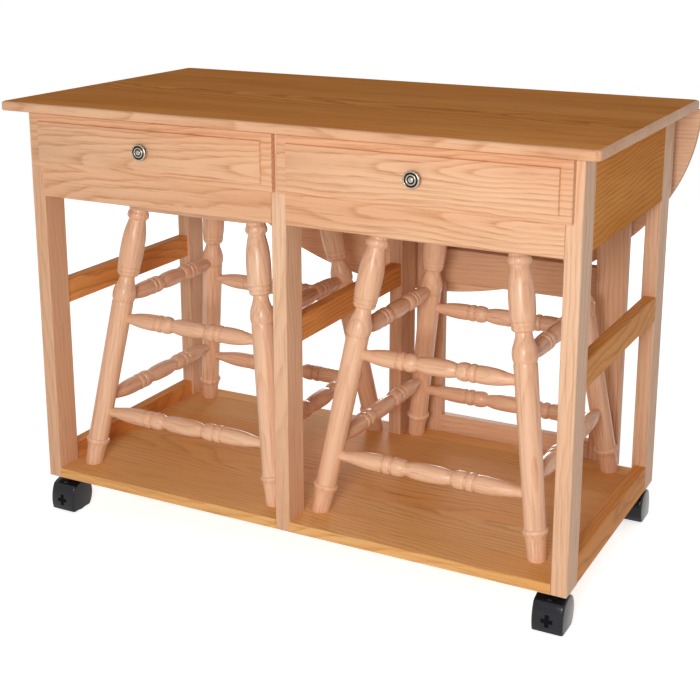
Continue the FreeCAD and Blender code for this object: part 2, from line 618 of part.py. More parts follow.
def stool_axis(x, y, ix, iy, share):
    """A point on the axis of one leg, at a share of the height under the seat."""
    across = FOOT_SPREAD_X + (HEAD_SPREAD - FOOT_SPREAD_X) * share
    deep = FOOT_SPREAD_Y + (HEAD_SPREAD - FOOT_SPREAD_Y) * share
    return vec(x + ix * across, y + iy * deep, STOOL_BASE + STOOL_RISE * share)


def stool_leg(x, y, ix, iy):
    """A turned leg, splayed both ways, cut level at its foot and let into the seat."""
    foot = stool_axis(x, y, ix, iy, 0)
    head = stool_axis(x, y, ix, iy, 1)
    way = head - foot
    length = way.Length
    outline = [(share * length, radius * LEG_RADIUS) for share, radius in LEG_SHARES]
    extra = [(-LEG_RADIUS / 2, outline[0][1])]
    shaft = turned(extra + outline, foot, way)
    over = 2 * LEG_RADIUS
    shaft = shaft.cut(box(foot.x - over, foot.x + over, foot.y - over, foot.y + over,
                          foot.z - over, foot.z))
    shaft = shaft.cut(box(head.x - over, head.x + over, head.y - over, head.y + over,
                          head.z, head.z + over))
    tenon = cylinder(STOOL_TENON_RADIUS, STOOL_SOCKET_DEPTH, head - way * (OVERRUN / length), way)
    return shaft.fuse(tenon).removeSplitter(), tenon


def stool_stretcher(start, end):
    """A turned stretcher: cigar ends, two beads a side and a barrel between them."""
    way = end - start
    half = way.Length / 2
    first = [(share * half, radius) for share, radius in STRETCHER_PROFILE_SHARES]
    second = [(way.Length - place, radius) for place, radius in reversed(first)]
    return turned(first + second, start, way)


def stool(side, x, y):
    """A stool: square seat with round corners, four splayed legs and eight stretchers.

    Seen from the front, the stool stands in its bay with its seat just under the rail.
    """
    half = STOOL_SEAT_SIZE / 2
    seat = box(x - half, x + half, y - half, y + half, SEAT_BOTTOM, SEAT_BOTTOM + STOOL_SEAT_THICKNESS)
    seat = seat.makeFillet(STOOL_SEAT_CORNER, along(seat, Z_AXIS))
    seat = seat.makeChamfer(STOOL_SEAT_EASE, level_edges(seat, SEAT_BOTTOM + STOOL_SEAT_THICKNESS))
    legs, tenons = {}, []
    for ix in (-1, 1):
        for iy in (-1, 1):
            leg, tenon = stool_leg(x, y, ix, iy)
            legs[ix, iy] = leg
            tenons.append(tenon)
    save("stool_seat_" + side, seat.cut(tenons))
    pairs = []
    for way in (-1, 1):
        for share in FRONT_STRETCHER_SHARES:
            pairs.append(((-1, way), (1, way), share))
        for share in SIDE_STRETCHER_SHARES:
            pairs.append(((way, -1), (way, 1), share))
    bars = []
    for low, high, share in pairs:
        start = stool_axis(x, y, low[0], low[1], share)
        end = stool_axis(x, y, high[0], high[1], share)
        bar = stool_stretcher(start, end).cut([legs[low], legs[high]])
        bars.append(max(bar.Solids, key=lambda solid: solid.Volume))
    save("stool_legs_" + side, *legs.values())
    save("stool_stretchers_" + side, *bars)


os.makedirs("parts", exist_ok=True)
top_board()
end_frames()
front_rails()
base_shelf()
back_apron()
drawer_runners()
drawers()
drop_leaf()
leaf_hinges()
gate_hinges()
gate()
casters()
stool("left", STOOL_LEFT_SHIFT_X - BAY_MIDDLE, FRAME_MIDDLE + STOOL_LEFT_SHIFT_Y)
stool("right", BAY_MIDDLE + STOOL_RIGHT_SHIFT_X, FRAME_MIDDLE + STOOL_RIGHT_SHIFT_Y)
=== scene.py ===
"""Builds the looks of an oak mobile bar with a drop leaf and two stools around its CAD frame."""
import math

import bmesh
import bpy
from mathutils import Matrix, Vector


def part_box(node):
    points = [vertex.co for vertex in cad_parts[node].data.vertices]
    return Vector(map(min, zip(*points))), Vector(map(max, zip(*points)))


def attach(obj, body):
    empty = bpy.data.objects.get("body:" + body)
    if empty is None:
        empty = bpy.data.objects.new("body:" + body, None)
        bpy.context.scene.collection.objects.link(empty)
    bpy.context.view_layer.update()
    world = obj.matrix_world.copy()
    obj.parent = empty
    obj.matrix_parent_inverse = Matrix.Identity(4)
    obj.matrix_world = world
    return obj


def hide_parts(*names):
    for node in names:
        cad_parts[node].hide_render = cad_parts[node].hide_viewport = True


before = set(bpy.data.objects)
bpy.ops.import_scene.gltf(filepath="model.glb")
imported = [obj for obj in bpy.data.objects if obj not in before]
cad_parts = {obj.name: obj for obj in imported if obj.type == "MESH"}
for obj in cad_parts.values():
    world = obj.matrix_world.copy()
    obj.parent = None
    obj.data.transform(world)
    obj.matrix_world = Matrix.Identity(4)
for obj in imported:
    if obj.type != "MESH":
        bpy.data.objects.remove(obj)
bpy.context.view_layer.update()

bl_info = {
    "name": "Mobile Bar",
    "version": (1, 0, 0),
    "blender": (4, 5, 0),
    "location": "3D View > Sidebar > Mobile Bar",
    "description": "Builds an oak mobile bar with a drop leaf and two turned stools",
    "category": "Object",
}

# In metres: one millimetre, the distance under which points are one, and that under which they are level
MM = 0.001
WELD = 0.01 * MM
NEAR = 0.1 * MM
# Least part of its normal along an axis that a face looks along, and most along one that it doesn't
FACING = 0.5
ASIDE = 0.01

# Sheens of the oak. The white room would bleach the darker faces, so those reflect next to nothing.
DULL = {"gloss": 0.5, "shine": 0.0}
SATIN = {"gloss": 0.5, "shine": 0.05}
TURNED = {"gloss": 0.32, "shine": 0.35, "coat": 0.1}

# Width of the strips that a board is glued up from, in mm
TOP_STRIP = 94
SHELF_STRIP = 110
SEAT_STRIP = 85

# Where the log's axis passes each kind of piece, in metres: along the log, then across it both ways
HEARTS = {
    "post": (0.02, 0.31, 0.19), "side_rail": (0.1, 0.0, 0.2), "apron": (0.0, -0.3, 0.1),
    "cross_rail": (0.3, 0.24, 0.77), "shelf": (0.2, -0.06, 0.04), "drawer_wood": (0.1, 0.5, 0.6),
    "front_rail_left": (0.0, -0.262, 0.70), "front_rail_right": (0.6, -0.262, 0.72),
    "top": (0.0, 0.0, 0.80), "top_edge": (0.0, -0.25, 0.86),
    "leaf_outside": (0.1, 0.36, 0.60), "leaf_inside": (0.1, 0.30, 0.30),
    "drawer_left": (0.35, -0.286, 0.79), "drawer_right": (0.1, -0.282, 0.815),
    "leg": (0.0, 0.31, -0.05), "stretcher": (0.0, -0.05, 0.3), "seat": (0.0, 0.0, 0.60),
}

# Each leg of a stool comes from a place this much further on, in metres
LEG_HEART_STEP = (0.2, 0.02, 0.0)

# Features of the grain: size in mm along the log and across it both ways, then the noise's detail and
# roughness. Real pores are 0.3 mm wide, and the fibres draw them about 1 mm wide so that they show.
BENDS = ((416.7, 125, 125), 1.5, 0.45)
PATCHES = ((625, 111.1, 111.1), 2.0, 0.5)
FIBRES = ((111.1, 3.333, 3.333), 3.0, 0.65)
# Values of the patches that give mid and pale wood, and of the fibres that give full pores and none
PATCH_STOPS = (0.36, 0.64)
PORE_STOPS = (0.3, 0.46)
# How the fibres break the ring lines into dashes
DASHES = {"From Min": 0.35, "From Max": 0.65, "To Min": 1.0, "To Max": 0.45}
# A wave texture of scale 1 draws rings this far apart, in metres, and this makes them waver
WAVE_GAP = math.pi / 10
WAVER = {"Distortion": 3.0, "Detail": 2.0, "Detail Scale": 0.4, "Detail Roughness": 0.5}
# Share of the log's lean that goes the other way
LEAN_SHARE = 0.6
# Relief of the fibres: strength, then depth in mm. The lacquer's coat is this rough.
FIBRE_RELIEF = (0.1, 0.4)
COAT_ROUGHNESS = 0.2
# Patches left by handling on metal and plastic, how much they change the gloss, and their depth in mm
HANDLING = ((4.545, 4.545, 4.545), 3.0, 0.5)
HANDLING_GLOSS = 0.06
HANDLING_DEPTH = 0.3
# One strip's tint at its darkest, and how far its log is moved from its neighbour's, in metres
STRIP_TINT = (0.86, 0.84, 0.82, 1.0)
STRIP_MOVE = (2.0, 0.07, 0.05)
# How dark a growth ring is from one edge to the other: it starts sharply and fades
RING_FADE = ((0.0, 0.5), (1.0, 0.5), (0.07, 1.0), (0.3, 0.42), (0.6, 0.08), (0.93, 0.0))

# Turns that lay a log along each axis of the bar
ALONG_X = (0.0, 0.0, 0.0)
ALONG_Y = (0.0, 0.0, -math.pi / 2)
ALONG_Z = (0.0, math.pi / 2, 0.0)

# Points drawn for each one of a turned outline
CURVE_STEPS = 2
# Sides of the leaf's whole oval, and faces across rounded corners, edges and lower edges
LEAF_SEGMENTS = 192
CORNER_STEPS = 8
SEAT_CORNER_STEPS = 12
ROUND_STEPS = 4
FRONT_STEPS = 3
UNDER_STEPS = 2

# Drawer front, in mm: the slope of its raised field's sides, and the rounding of the field's crest
FIELD_SLOPE = 1
FIELD_ROUND = 0.8

# Stool, in mm: half the distance between leg axes at the shelf and under the seat
FOOT_SPREAD = 224
HEAD_SPREAD = 140
LEG_OVERRUN = 12
FRONT_STRETCHER_SHARES = (0.576, 0.209)
SIDE_STRETCHER_SHARES = (0.653, 0.255)

# Caster, in mm, about its axle: u runs towards the hood's nose
HOOD_NOSE = ((31, -23), (33.5, 0), (25, 31))
HOOD_CROWN = ((25, 31), (0, 39), (-25, 31))
HOOD_TAIL = ((-25, 31), (-33.5, 0), (-24, -23))
HOOD_WALL = 2.5
HOOD_CROSS = ((11, 4), (4, 12))
HOOD_CROSS_DEPTH = 1.5
HOOD_STEPS = 10
WEB_HALF_WIDTH = 4
WEB_HALF_LENGTH = 20
WEB_DROP = 6
WEB_RISE = 35.5
KINGPIN_TRAIL = 15
KINGPIN_RADIUS = 4
KINGPIN_SEGMENTS = 24
WHEEL_INNER = 4.5
WHEEL_WIDTH = 22

# Radius in mm of a stool's leg at shares of the height from its foot to the seat
LEG_PROFILE = [
    (0.0, 17.5), (0.006, 18.4), (0.03, 18.8), (0.06, 19.8), (0.078, 21.6), (0.086, 24.0),
    (0.092, 24.6), (0.098, 23.8), (0.101, 21.6), (0.106, 20.9), (0.16, 20.9), (0.3, 21.3),
    (0.45, 21.8), (0.6, 22.3), (0.634, 22.4), (0.637, 21.6), (0.64, 21.2), (0.643, 22.0),
    (0.65, 23.4), (0.662, 24.3), (0.674, 24.1), (0.69, 22.6), (0.705, 19.6), (0.718, 17.2),
    (0.73, 15.8), (0.736, 15.6), (0.7395, 16.2), (0.741, 19.2), (0.745, 21.6), (0.75, 22.4),
    (0.755, 22.6), (0.7572, 21.7), (0.7594, 22.7), (0.765, 23.2), (0.7705, 23.3), (0.7727, 22.4),
    (0.775, 23.4), (0.79, 24.2), (0.82, 24.9), (0.85, 25.0), (0.88, 24.4), (0.905, 23.0),
    (0.925, 21.0), (0.94, 19.2), (0.95, 18.0), (0.9545, 17.8), (0.957, 19.4), (0.962, 21.6),
    (0.969, 22.4), (0.976, 22.2), (0.982, 21.0), (0.986, 19.8), (1.0, 19.6),
]

# Radius in mm of a stretcher at shares of half its length, from the leg's axis to its middle
STRETCHER_PROFILE = [
    (0.06, 9.4), (0.12, 9.8), (0.17, 10.8), (0.22, 12.6), (0.28, 14.6), (0.34, 16.0), (0.4, 16.8),
    (0.46, 17.1), (0.52, 16.9), (0.53, 16.4), (0.537, 14.0), (0.544, 13.9), (0.551, 16.4),
    (0.562, 17.5), (0.585, 18.0), (0.606, 17.5), (0.617, 16.4), (0.624, 13.8), (0.632, 13.8),
    (0.64, 16.4), (0.655, 17.6), (0.69, 18.0), (0.72, 17.3), (0.745, 16.0), (0.758, 14.6),
    (0.766, 13.2), (0.772, 12.9), (0.78, 13.2), (0.8, 14.2), (0.84, 15.8), (0.88, 16.8),
    (0.93, 17.4), (1.0, 17.6),
]

# Outline of the drawer knob: distance out from the drawer's face, then radius, both in mm
KNOB_PROFILE = [
    (0.0, 10.0), (1.4, 10.0), (2.0, 9.2), (2.1, 7.0), (3.2, 6.0), (10.0, 6.0), (11.2, 7.4),
    (12.0, 10.4), (12.6, 13.6), (13.8, 15.6), (15.0, 16.0), (16.4, 15.6), (17.3, 14.4),
    (17.3, 13.2), (16.4, 12.5), (16.0, 11.4), (16.4, 10.3), (17.6, 9.8), (18.3, 8.9), (18.2, 7.7),
    (17.3, 7.0), (17.0, 6.1), (17.4, 5.2), (18.4, 4.6), (18.9, 3.2), (19.0, 1.6), (19.0, 0.0),
]
# Radii between which the knob's face is sunk, and dark with painted shade
KNOB_GROOVES = ((9.9, 13.0), (5.0, 7.3))
KNOB_FACE = 15.5
KNOB_BROW = 17.7

# Outline of one wheel: distance from its inner face, then radius drawn in from the tread, in mm
WHEEL_PROFILE = [(0.0, 3.0), (0.8, 1.0), (2.4, 0.0), (17.0, 0.0), (20.0, 1.0), (22.0, 4.0), (22.0, 8.0),
                 (19.0, 10.0), (19.0, 19.0), (22.0, 20.5)]
WHEEL_BORE = 3.3

# The photograph's viewpoint, solved from the posts, the top and the shelf: mm, metres and degrees
CAMERA_LENS = 68.3
CAMERA_SENSOR = 36.0
CAMERA_SHIFT = -0.14
CAMERA_PLACE = (1.2060, -2.3298, 1.2406)
CAMERA_TILT = 14.37
CAMERA_TURN = 27.53
CAMERA_CLIP = 60.0

# Lamps: name, the setting with its power, side and place in metres
LAMPS = (
    ("key_lamp", "key_power", 0.7, (0.86, -2.78, 1.20)),
    ("fill_lamp", "fill_power", 1.6, (3.0, -0.9, 1.5)),
    ("back_lamp", "back_power", 0.9, (-1.2, 3.0, 0.6)),
)
LAMP_AIM = (0.0, 0.0, 0.45)
LAMP_TINT = (1.0, 0.97, 0.95)
FLOOR_SIZE = 40.0
FLOOR_WHITE = 0.9
FLOOR_GLOW = 0.72


def linear(code):
    """Linear colour of an sRGB hex code."""
    channels = [int(code[i:i + 2], 16) / 255 for i in (1, 3, 5)]
    return [c / 12.92 if c <= 0.04045 else ((c + 0.055) / 1.055) ** 2.4 for c in channels]


def tone(name, description, code):
    """A colour as a setting, from an sRGB hex code."""
    return bpy.props.FloatVectorProperty(
        name=name, description=description, default=linear(code), min=0.0, max=1.0, subtype="COLOR")


def length(name, description, millimetres, least=0.0):
    """A size as a setting, from mm."""
    return bpy.props.FloatProperty(
        name=name, description=description, default=millimetres * MM, min=least * MM, unit="LENGTH")


def power(name, description, watts):
    """A lamp's power as a setting."""
    return bpy.props.FloatProperty(
        name=name, description=description, default=watts, min=0.0, unit="POWER")


def count(name, description, faces):
    """A number of faces as a setting."""
    return bpy.props.IntProperty(name=name, description=description, default=faces, min=12)


def opaque(colour):
    """A colour setting as a colour socket takes it."""
    return (*colour, 1.0)


def per_metre(sizes):
    """Scale of a pattern whose features have these sizes in mm."""
    return [1 / (size * MM) for size in sizes]


def grey(level):
    """A grey for a colour socket or a ramp's stop."""
    return (level, level, level, 1.0)


def node(tree, kind, settings=None, inputs=None):
    """Adds one shader node with its options and its sockets' values or links."""
    made = tree.nodes.new(kind)
    for key, value in (settings or {}).items():
        setattr(made, key, value)
    for key, value in (inputs or {}).items():
        if isinstance(value, bpy.types.NodeSocket):
            tree.links.new(value, made.inputs[key])
        else:
            made.inputs[key].default_value = value
    return made


def ramp(tree, value, stops):
    """A value turned into colours by a ramp of (position, colour) stops."""
    made = node(tree, "ShaderNodeValToRGB", None, {"Fac": value})
    for number, (position, colour) in enumerate(stops):
        elements = made.color_ramp.elements
        element = elements[number] if number < 2 else elements.new(position)
        element.position, element.color = position, colour
    return made.outputs["Color"]


def combine(tree, operation, first, second=0.0, clamp=False):
    """Two values put through one operation."""
    return node(tree, "ShaderNodeMath", {"operation": operation, "use_clamp": clamp},
                {0: first, 1: second}).outputs[0]


def shifted(tree, vector, by, factor):
    """A vector moved by another one times a factor."""
    return node(tree, "ShaderNodeVectorMath", {"operation": "MULTIPLY_ADD"},
                {0: by, 1: factor, 2: vector}).outputs[0]


def mix(tree, share, first, second, blend="MIX"):
    """Two colours blended."""
    return node(tree, "ShaderNodeMix", {"data_type": "RGBA", "blend_type": blend},
                {0: share, 6: first, 7: second}).outputs[2]


def mapped(tree, vector, **inputs):
    """A vector turned, moved or scaled."""
    return node(tree, "ShaderNodeMapping", None, {"Vector": vector, **inputs}).outputs["Vector"]


def noise(tree, vector, sizes, detail, roughness, output="Fac"):
    """A noise whose features have these sizes in mm."""
    return node(tree, "ShaderNodeTexNoise", None,
                {"Vector": mapped(tree, vector, Scale=per_metre(sizes)), "Scale": 1.0, "Detail": detail,
                 "Roughness": roughness}).outputs[output]


def bumpy(tree, height, strength, distance):
    """A normal bent by a height, with the distance in mm."""
    return node(tree, "ShaderNodeBump", None,
                {"Strength": strength, "Distance": distance * MM, "Height": height}).outputs["Normal"]


def principled(tree, inputs):
    """One principled shader as the whole surface."""
    surface = node(tree, "ShaderNodeBsdfPrincipled", None, inputs)
    node(tree, "ShaderNodeOutputMaterial", None, {"Surface": surface.outputs["BSDF"]})


def new_material(name):
    """An empty material and its node tree."""
    empty = bpy.data.materials.new(name)
    empty.use_nodes = True
    empty.node_tree.nodes.clear()
    return empty, empty.node_tree


def oak(name, turn, tones, heart, glue_width=0.0, gloss=0.45, shine=0.2, coat=0.0):
    """Clear-lacquered oak with the arched grain of flat-sawn boards.

    tones names the oak in the colour settings.
    The log's axis lies along X after turn, and heart is where that axis passes.
    A face close to it shows nested arches, a face far from it long lines.
    glue_width splits a board into glued strips along Y.
    """
    settings, colours = bpy.context.scene.bar_oak, bpy.context.scene.bar_colours
    wood, tree = new_material(name)
    pale, mid, ring = [opaque(getattr(colours, tones + part)) for part in ("_pale", "_mid", "_ring")]
    place = node(tree, "ShaderNodeTexCoord").outputs["Object"]
    log = mapped(tree, place, Rotation=turn)
    tint = grey(1.0)
    if glue_width:
        # Each glued strip comes from another part of the log and is a little lighter or darker
        across = node(tree, "ShaderNodeSeparateXYZ", None, {"Vector": place}).outputs["Y"]
        number = combine(tree, "FLOOR", combine(tree, "DIVIDE", across, glue_width))
        chance = node(tree, "ShaderNodeTexWhiteNoise", {"noise_dimensions": "1D"}, {"W": number})
        tint = ramp(tree, chance.outputs["Value"], [(0.0, STRIP_TINT), (1.0, grey(1.0))])
        log = shifted(tree, log, chance.outputs["Color"], STRIP_MOVE)
    # The trunk bends by a few centimetres over half a metre
    bends = noise(tree, log, *BENDS, "Color")
    bent = shifted(tree, log, bends, (0.0, settings.bend, settings.bend))
    # It leans against the board, so its rings run out as arches
    leant = mapped(tree, bent, Rotation=(0.0, settings.lean * LEAN_SHARE, settings.lean),
                   Location=[-value - settings.bend / 2 for value in heart])
    rings = node(tree, "ShaderNodeTexWave",
                 {"wave_type": "RINGS", "rings_direction": "X", "wave_profile": "SAW"},
                 {"Vector": leant, "Scale": WAVE_GAP / settings.ring_gap, **WAVER}).outputs["Fac"]
    line = ramp(tree, rings, [(position, grey(level)) for position, level in RING_FADE])
    fibre = noise(tree, log, *FIBRES)
    body = ramp(tree, noise(tree, log, *PATCHES), zip(PATCH_STOPS, (mid, pale)))
    dashes = node(tree, "ShaderNodeMapRange", None, {"Value": fibre, **DASHES}).outputs["Result"]
    drawn = combine(tree, "MULTIPLY", line, dashes)
    ringed = mix(tree, combine(tree, "MULTIPLY", drawn, settings.ring_depth, clamp=True), body, ring)
    pore = ramp(tree, fibre, zip(PORE_STOPS, (grey(settings.pore_depth), grey(0.0))))
    grain = mix(tree, pore, ringed, opaque(colours.pore))
    principled(tree, {"Base Color": mix(tree, 1.0, grain, tint, "MULTIPLY"), "Roughness": gloss,
                      "Specular IOR Level": shine, "Coat Weight": coat,
                      "Coat Roughness": COAT_ROUGHNESS, "Normal": bumpy(tree, fibre, *FIBRE_RELIEF)})
    return wood


def plain(name, colour, roughness, metallic=0.0, speckle=0.0, shine=0.5):
    """A metal or plastic whose gloss varies a little with handling."""
    finish, tree = new_material(name)
    place = node(tree, "ShaderNodeTexCoord").outputs["Object"]
    patches = noise(tree, place, *HANDLING)
    gloss = node(tree, "ShaderNodeMapRange", None,
                 {"Value": patches, "To Min": roughness - HANDLING_GLOSS,
                  "To Max": roughness + HANDLING_GLOSS}).outputs["Result"]
    principled(tree, {"Base Color": opaque(colour), "Metallic": metallic, "Roughness": gloss,
                      "Specular IOR Level": shine,
                      "Normal": bumpy(tree, patches, speckle, HANDLING_DEPTH)})
    return finish


made_materials = {}


def material(key, maker, *args, **options):
    """Makes each material once."""
    if key not in made_materials:
        made_materials[key] = maker(key, *args, **options)
    return made_materials[key]


def give(obj, item):
    """Leaves an object with one material."""
    obj.data.materials.clear()
    obj.data.materials.append(item)


def dress(name, item):
    """Gives a CAD piece that shows as it is its material."""
    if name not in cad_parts:
        raise RuntimeError("the frame has no piece named " + name)
    give(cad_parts[name], item)


def span(name):
    """Lowest and highest corner of a CAD node, in metres."""
    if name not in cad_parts:
        raise RuntimeError("the frame has no piece named " + name)
    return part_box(name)


def finish_piece(name, work, materials, body, nodes, crease=35.0):
    """Turns a bmesh into an object that rides on its body and stands for its CAD nodes."""
    if not work.faces:
        raise RuntimeError(name + " came out empty")
    bmesh.ops.recalc_face_normals(work, faces=work.faces)
    mesh = bpy.data.meshes.new(name)
    for item in materials:
        mesh.materials.append(item)
    work.to_mesh(mesh)
    work.free()
    obj = bpy.data.objects.new(name, mesh)
    bpy.context.scene.collection.objects.link(obj)
    mesh.shade_smooth()
    mesh.set_sharp_from_angle(angle=math.radians(crease))
    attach(obj, body)
    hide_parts(*nodes)
    return obj


def smooth(points, steps):
    """Rounds a profile with a curve through its points."""
    full = [points[0]] + list(points) + [points[-1]]
    curve = []
    for a, b, c, d in zip(full, full[1:], full[2:], full[3:]):
        for i in range(steps):
            t = i / steps
            curve.append(tuple(
                0.5 * (2 * q + (r - p) * t + (2 * p - 5 * q + 4 * r - s) * t ** 2
                       + (3 * q - p - 3 * r + s) * t ** 3)
                for p, q, r, s in zip(a, b, c, d)))
    return curve + [points[-1]]


def arc(first, middle, last, steps):
    """Points on the circle through three points, from the first to the one before the last."""
    (ax, ay), (bx, by), (cx, cy) = first, middle, last
    spread = 2 * (ax * (by - cy) + bx * (cy - ay) + cx * (ay - by))
    a, b, c = ax * ax + ay * ay, bx * bx + by * by, cx * cx + cy * cy
    ox = (a * (by - cy) + b * (cy - ay) + c * (ay - by)) / spread
    oy = (a * (cx - bx) + b * (ax - cx) + c * (bx - ax)) / spread
    radius = math.hypot(ax - ox, ay - oy)
    start, end = math.atan2(ay - oy, ax - ox), math.atan2(cy - oy, cx - ox)
    while end < start:
        end += 2 * math.pi
    angles = [start + (end - start) * i / steps for i in range(steps)]
    return [(ox + radius * math.cos(angle), oy + radius * math.sin(angle)) for angle in angles]


def spin(work, points, pairs, start, way, segments):
    """Spins an outline of (distance, radius) points round a line and returns the new vertices."""
    axis = way.normalized()
    lay = Matrix.Translation(start) @ axis.to_track_quat("Z", "X").to_matrix().to_4x4()
    before = set(work.verts)
    line = [work.verts.new(lay @ Vector((radius, 0.0, distance))) for distance, radius in points]
    edges = [work.edges.new((line[first], line[second])) for first, second in pairs]
    bmesh.ops.spin(work, geom=line + edges, cent=start, axis=axis, angle=2 * math.pi,
                   steps=segments, use_merge=True, use_duplicate=False)
    made = [vert for vert in work.verts if vert not in before]
    bmesh.ops.remove_doubles(work, verts=made, dist=WELD)
    return [vert for vert in work.verts if vert not in before]


def spin_profile(work, points, start, way, segments):
    """Spins an open outline, closed to the axis at both ends, as for a leg or a knob."""
    closed = list(points)
    if points[0][1] > 0:
        closed.insert(0, (points[0][0], 0.0))
    if points[-1][1] > 0:
        closed.append((points[-1][0], 0.0))
    pairs = [(number, number + 1) for number in range(len(closed) - 1)]
    return spin(work, closed, pairs, start, way, segments)


def spin_ring(work, points, start, way, segments):
    """Spins a closed loop, as for a wheel with a bore."""
    pairs = [(number, (number + 1) % len(points)) for number in range(len(points))]
    return spin(work, points, pairs, start, way, segments)


def pour(source, target):
    """Adds one bmesh to another and frees it."""
    mesh = bpy.data.meshes.new("poured")
    source.to_mesh(mesh)
    source.free()
    target.from_mesh(mesh)
    bpy.data.meshes.remove(mesh)


def block(work, low, high):
    """A box from corner to corner."""
    lay = Matrix.Translation((high + low) / 2) @ Matrix.Diagonal((*(high - low), 1.0))
    bmesh.ops.create_cube(work, size=1.0, matrix=lay)


def cut(work, faces, point, normal, clear_outer=False):
    """Cuts some faces along a plane and returns the new edges."""
    geom = list({part for face in faces for part in (*face.verts, *face.edges)}) + list(faces)
    made = bmesh.ops.bisect_plane(work, geom=geom, dist=WELD, plane_co=point, plane_no=normal,
                                  clear_outer=clear_outer)
    return [part for part in made["geom_cut"] if isinstance(part, bmesh.types.BMEdge)]


def extrude(work, faces, way):
    """Pushes faces out along a vector and returns the moved vertices."""
    made = bmesh.ops.extrude_face_region(work, geom=faces)
    bmesh.ops.delete(work, geom=faces, context="FACES")
    moved = [part for part in made["geom"] if isinstance(part, bmesh.types.BMVert)]
    bmesh.ops.translate(work, vec=way, verts=moved)
    return moved


def edges_where(work, test):
    """The edges whose two ends pass a test."""
    return [edge for edge in work.edges if test(edge.verts[0].co, edge.verts[1].co)]


def round_edges(work, edges, radius, segments):
    """Rounds edges to a radius in metres."""
    bmesh.ops.bevel(work, geom=edges, offset=radius, offset_type="OFFSET", segments=segments,
                    profile=0.5, affect="EDGES", material=-1, clamp_overlap=True)


def slab(low, high, corner, corner_steps, rim, under):
    """A board with rounded corners and rims."""
    work = bmesh.new()
    block(work, low, high)
    corners = edges_where(work, lambda a, b: abs(a.z - b.z) > MM)
    round_edges(work, corners, corner, corner_steps)
    upper = edges_where(work, lambda a, b: min(a.z, b.z) > high.z - NEAR)
    round_edges(work, upper, rim, ROUND_STEPS)
    lower = edges_where(work, lambda a, b: max(a.z, b.z) < low.z + NEAR)
    round_edges(work, lower, under, UNDER_STEPS)
    return work


class BarColourSettings(bpy.types.PropertyGroup):
    """Colours in daylight, but for painted shade in the rails, the top and the dark pewter and painted
    light in the shelf and the leaf's inside. Each oak has pale wood, mid wood and the line of its growth
    rings.
    """
    face_pale: tone("Fronts, pale", "Pale wood of the drawer fronts and the top's edge", "#EBBE99")
    face_mid: tone("Fronts, mid", "Mid wood of the drawer fronts and the top's edge", "#E1AD86")
    face_ring: tone("Fronts, rings", "Rings of the drawer fronts and the top's edge", "#C68B5E")
    post_pale: tone("Posts, pale", "Pale wood of the posts and the gate", "#ECC4A3")
    post_mid: tone("Posts, mid", "Mid wood of the posts and the gate", "#E3B38E")
    post_ring: tone("Posts, rings", "Rings of the posts and the gate", "#D4A580")
    # The rails' tones are more orange and golden than the posts' as painted shade on the ends
    rail_pale: tone("Rails, pale", "Pale wood of the boards across the ends", "#F1A961")
    rail_mid: tone("Rails, mid", "Mid wood of the boards across the ends", "#E39750")
    rail_ring: tone("Rails, rings", "Rings of the boards across the ends", "#C07B3C")
    # The shelf's tones are brighter and more golden than the posts' as painted light under the top
    shelf_pale: tone("Shelf, pale", "Pale wood of the shelf", "#FFC986")
    shelf_mid: tone("Shelf, mid", "Mid wood of the shelf", "#F8B870")
    shelf_ring: tone("Shelf, rings", "Rings of the shelf", "#DB9D5B")
    # The top's tones are darker and browner than the posts' as painted shade on its upper face, and the
    # leaf's outside takes them too
    top_pale: tone("Top, pale", "Pale wood of the stained top and leaf", "#FFB367")
    top_mid: tone("Top, mid", "Mid wood of the stained top and leaf", "#F3A257")
    top_ring: tone("Top, rings", "Rings of the stained top and leaf", "#C2753A")
    # Used on the leaf's inside, these paler tones are painted light
    leg_pale: tone("Stools, pale", "Pale wood of the stools and the leaf's inside", "#F4CAA8")
    leg_mid: tone("Stools, mid", "Mid wood of the stools and the leaf's inside", "#ECBC98")
    leg_ring: tone("Stools, rings", "Rings of the stools and the leaf's inside", "#E2AD88")
    pore: tone("Pores", "Pores of every oak", "#A5673F")
    pewter: tone("Pewter", "Worn metal of the drawer knobs", "#AFA698")
    # Dark pewter is painted shade in the knobs' grooves
    pewter_painted_shade: tone("Dark pewter", "Metal sunk between the knobs' rings", "#2E2A25")
    steel: tone("Steel", "Hinges, caster plates and axles", "#A9A79F")
    hood_black: tone("Hoods", "Plastic of the caster hoods", "#0D1018")
    wheel_grey: tone("Wheels", "Plastic of the caster wheels", "#1C1D21")


class BarSizeSettings(bpy.types.PropertyGroup):
    """Roundings, and the drawers' raised fields. The frame gives every other size."""
    top_corner: length("Top corner", "Radius of the top's corners", 14)
    top_round: length("Top rim", "Rounding of the top's upper rim", 5)
    top_under: length("Top lower rim", "Rounding of the top's lower rim", 3)
    leaf_round: length("Leaf rim", "Rounding of the leaf's curved rim", 4)
    field_end: length("Field ends", "Flat margin at the ends of a drawer's field", 21)
    field_edge: length("Field edges", "Flat margin above and below a drawer's field", 14)
    field_rise: length("Field rise", "How far a drawer's field stands out", 6)
    front_round: length("Front rim", "Rounding of a drawer front's rim", 2)
    seat_corner: length("Seat corner", "Radius of the seats' corners", 50)
    seat_round: length("Seat rim", "Rounding of the seats' upper rim", 4)
    seat_under: length("Seat lower rim", "Rounding of the seats' lower rim", 2)
    hood_round: length("Hood edge", "Rounding of the caster hoods' edges", 4.5)


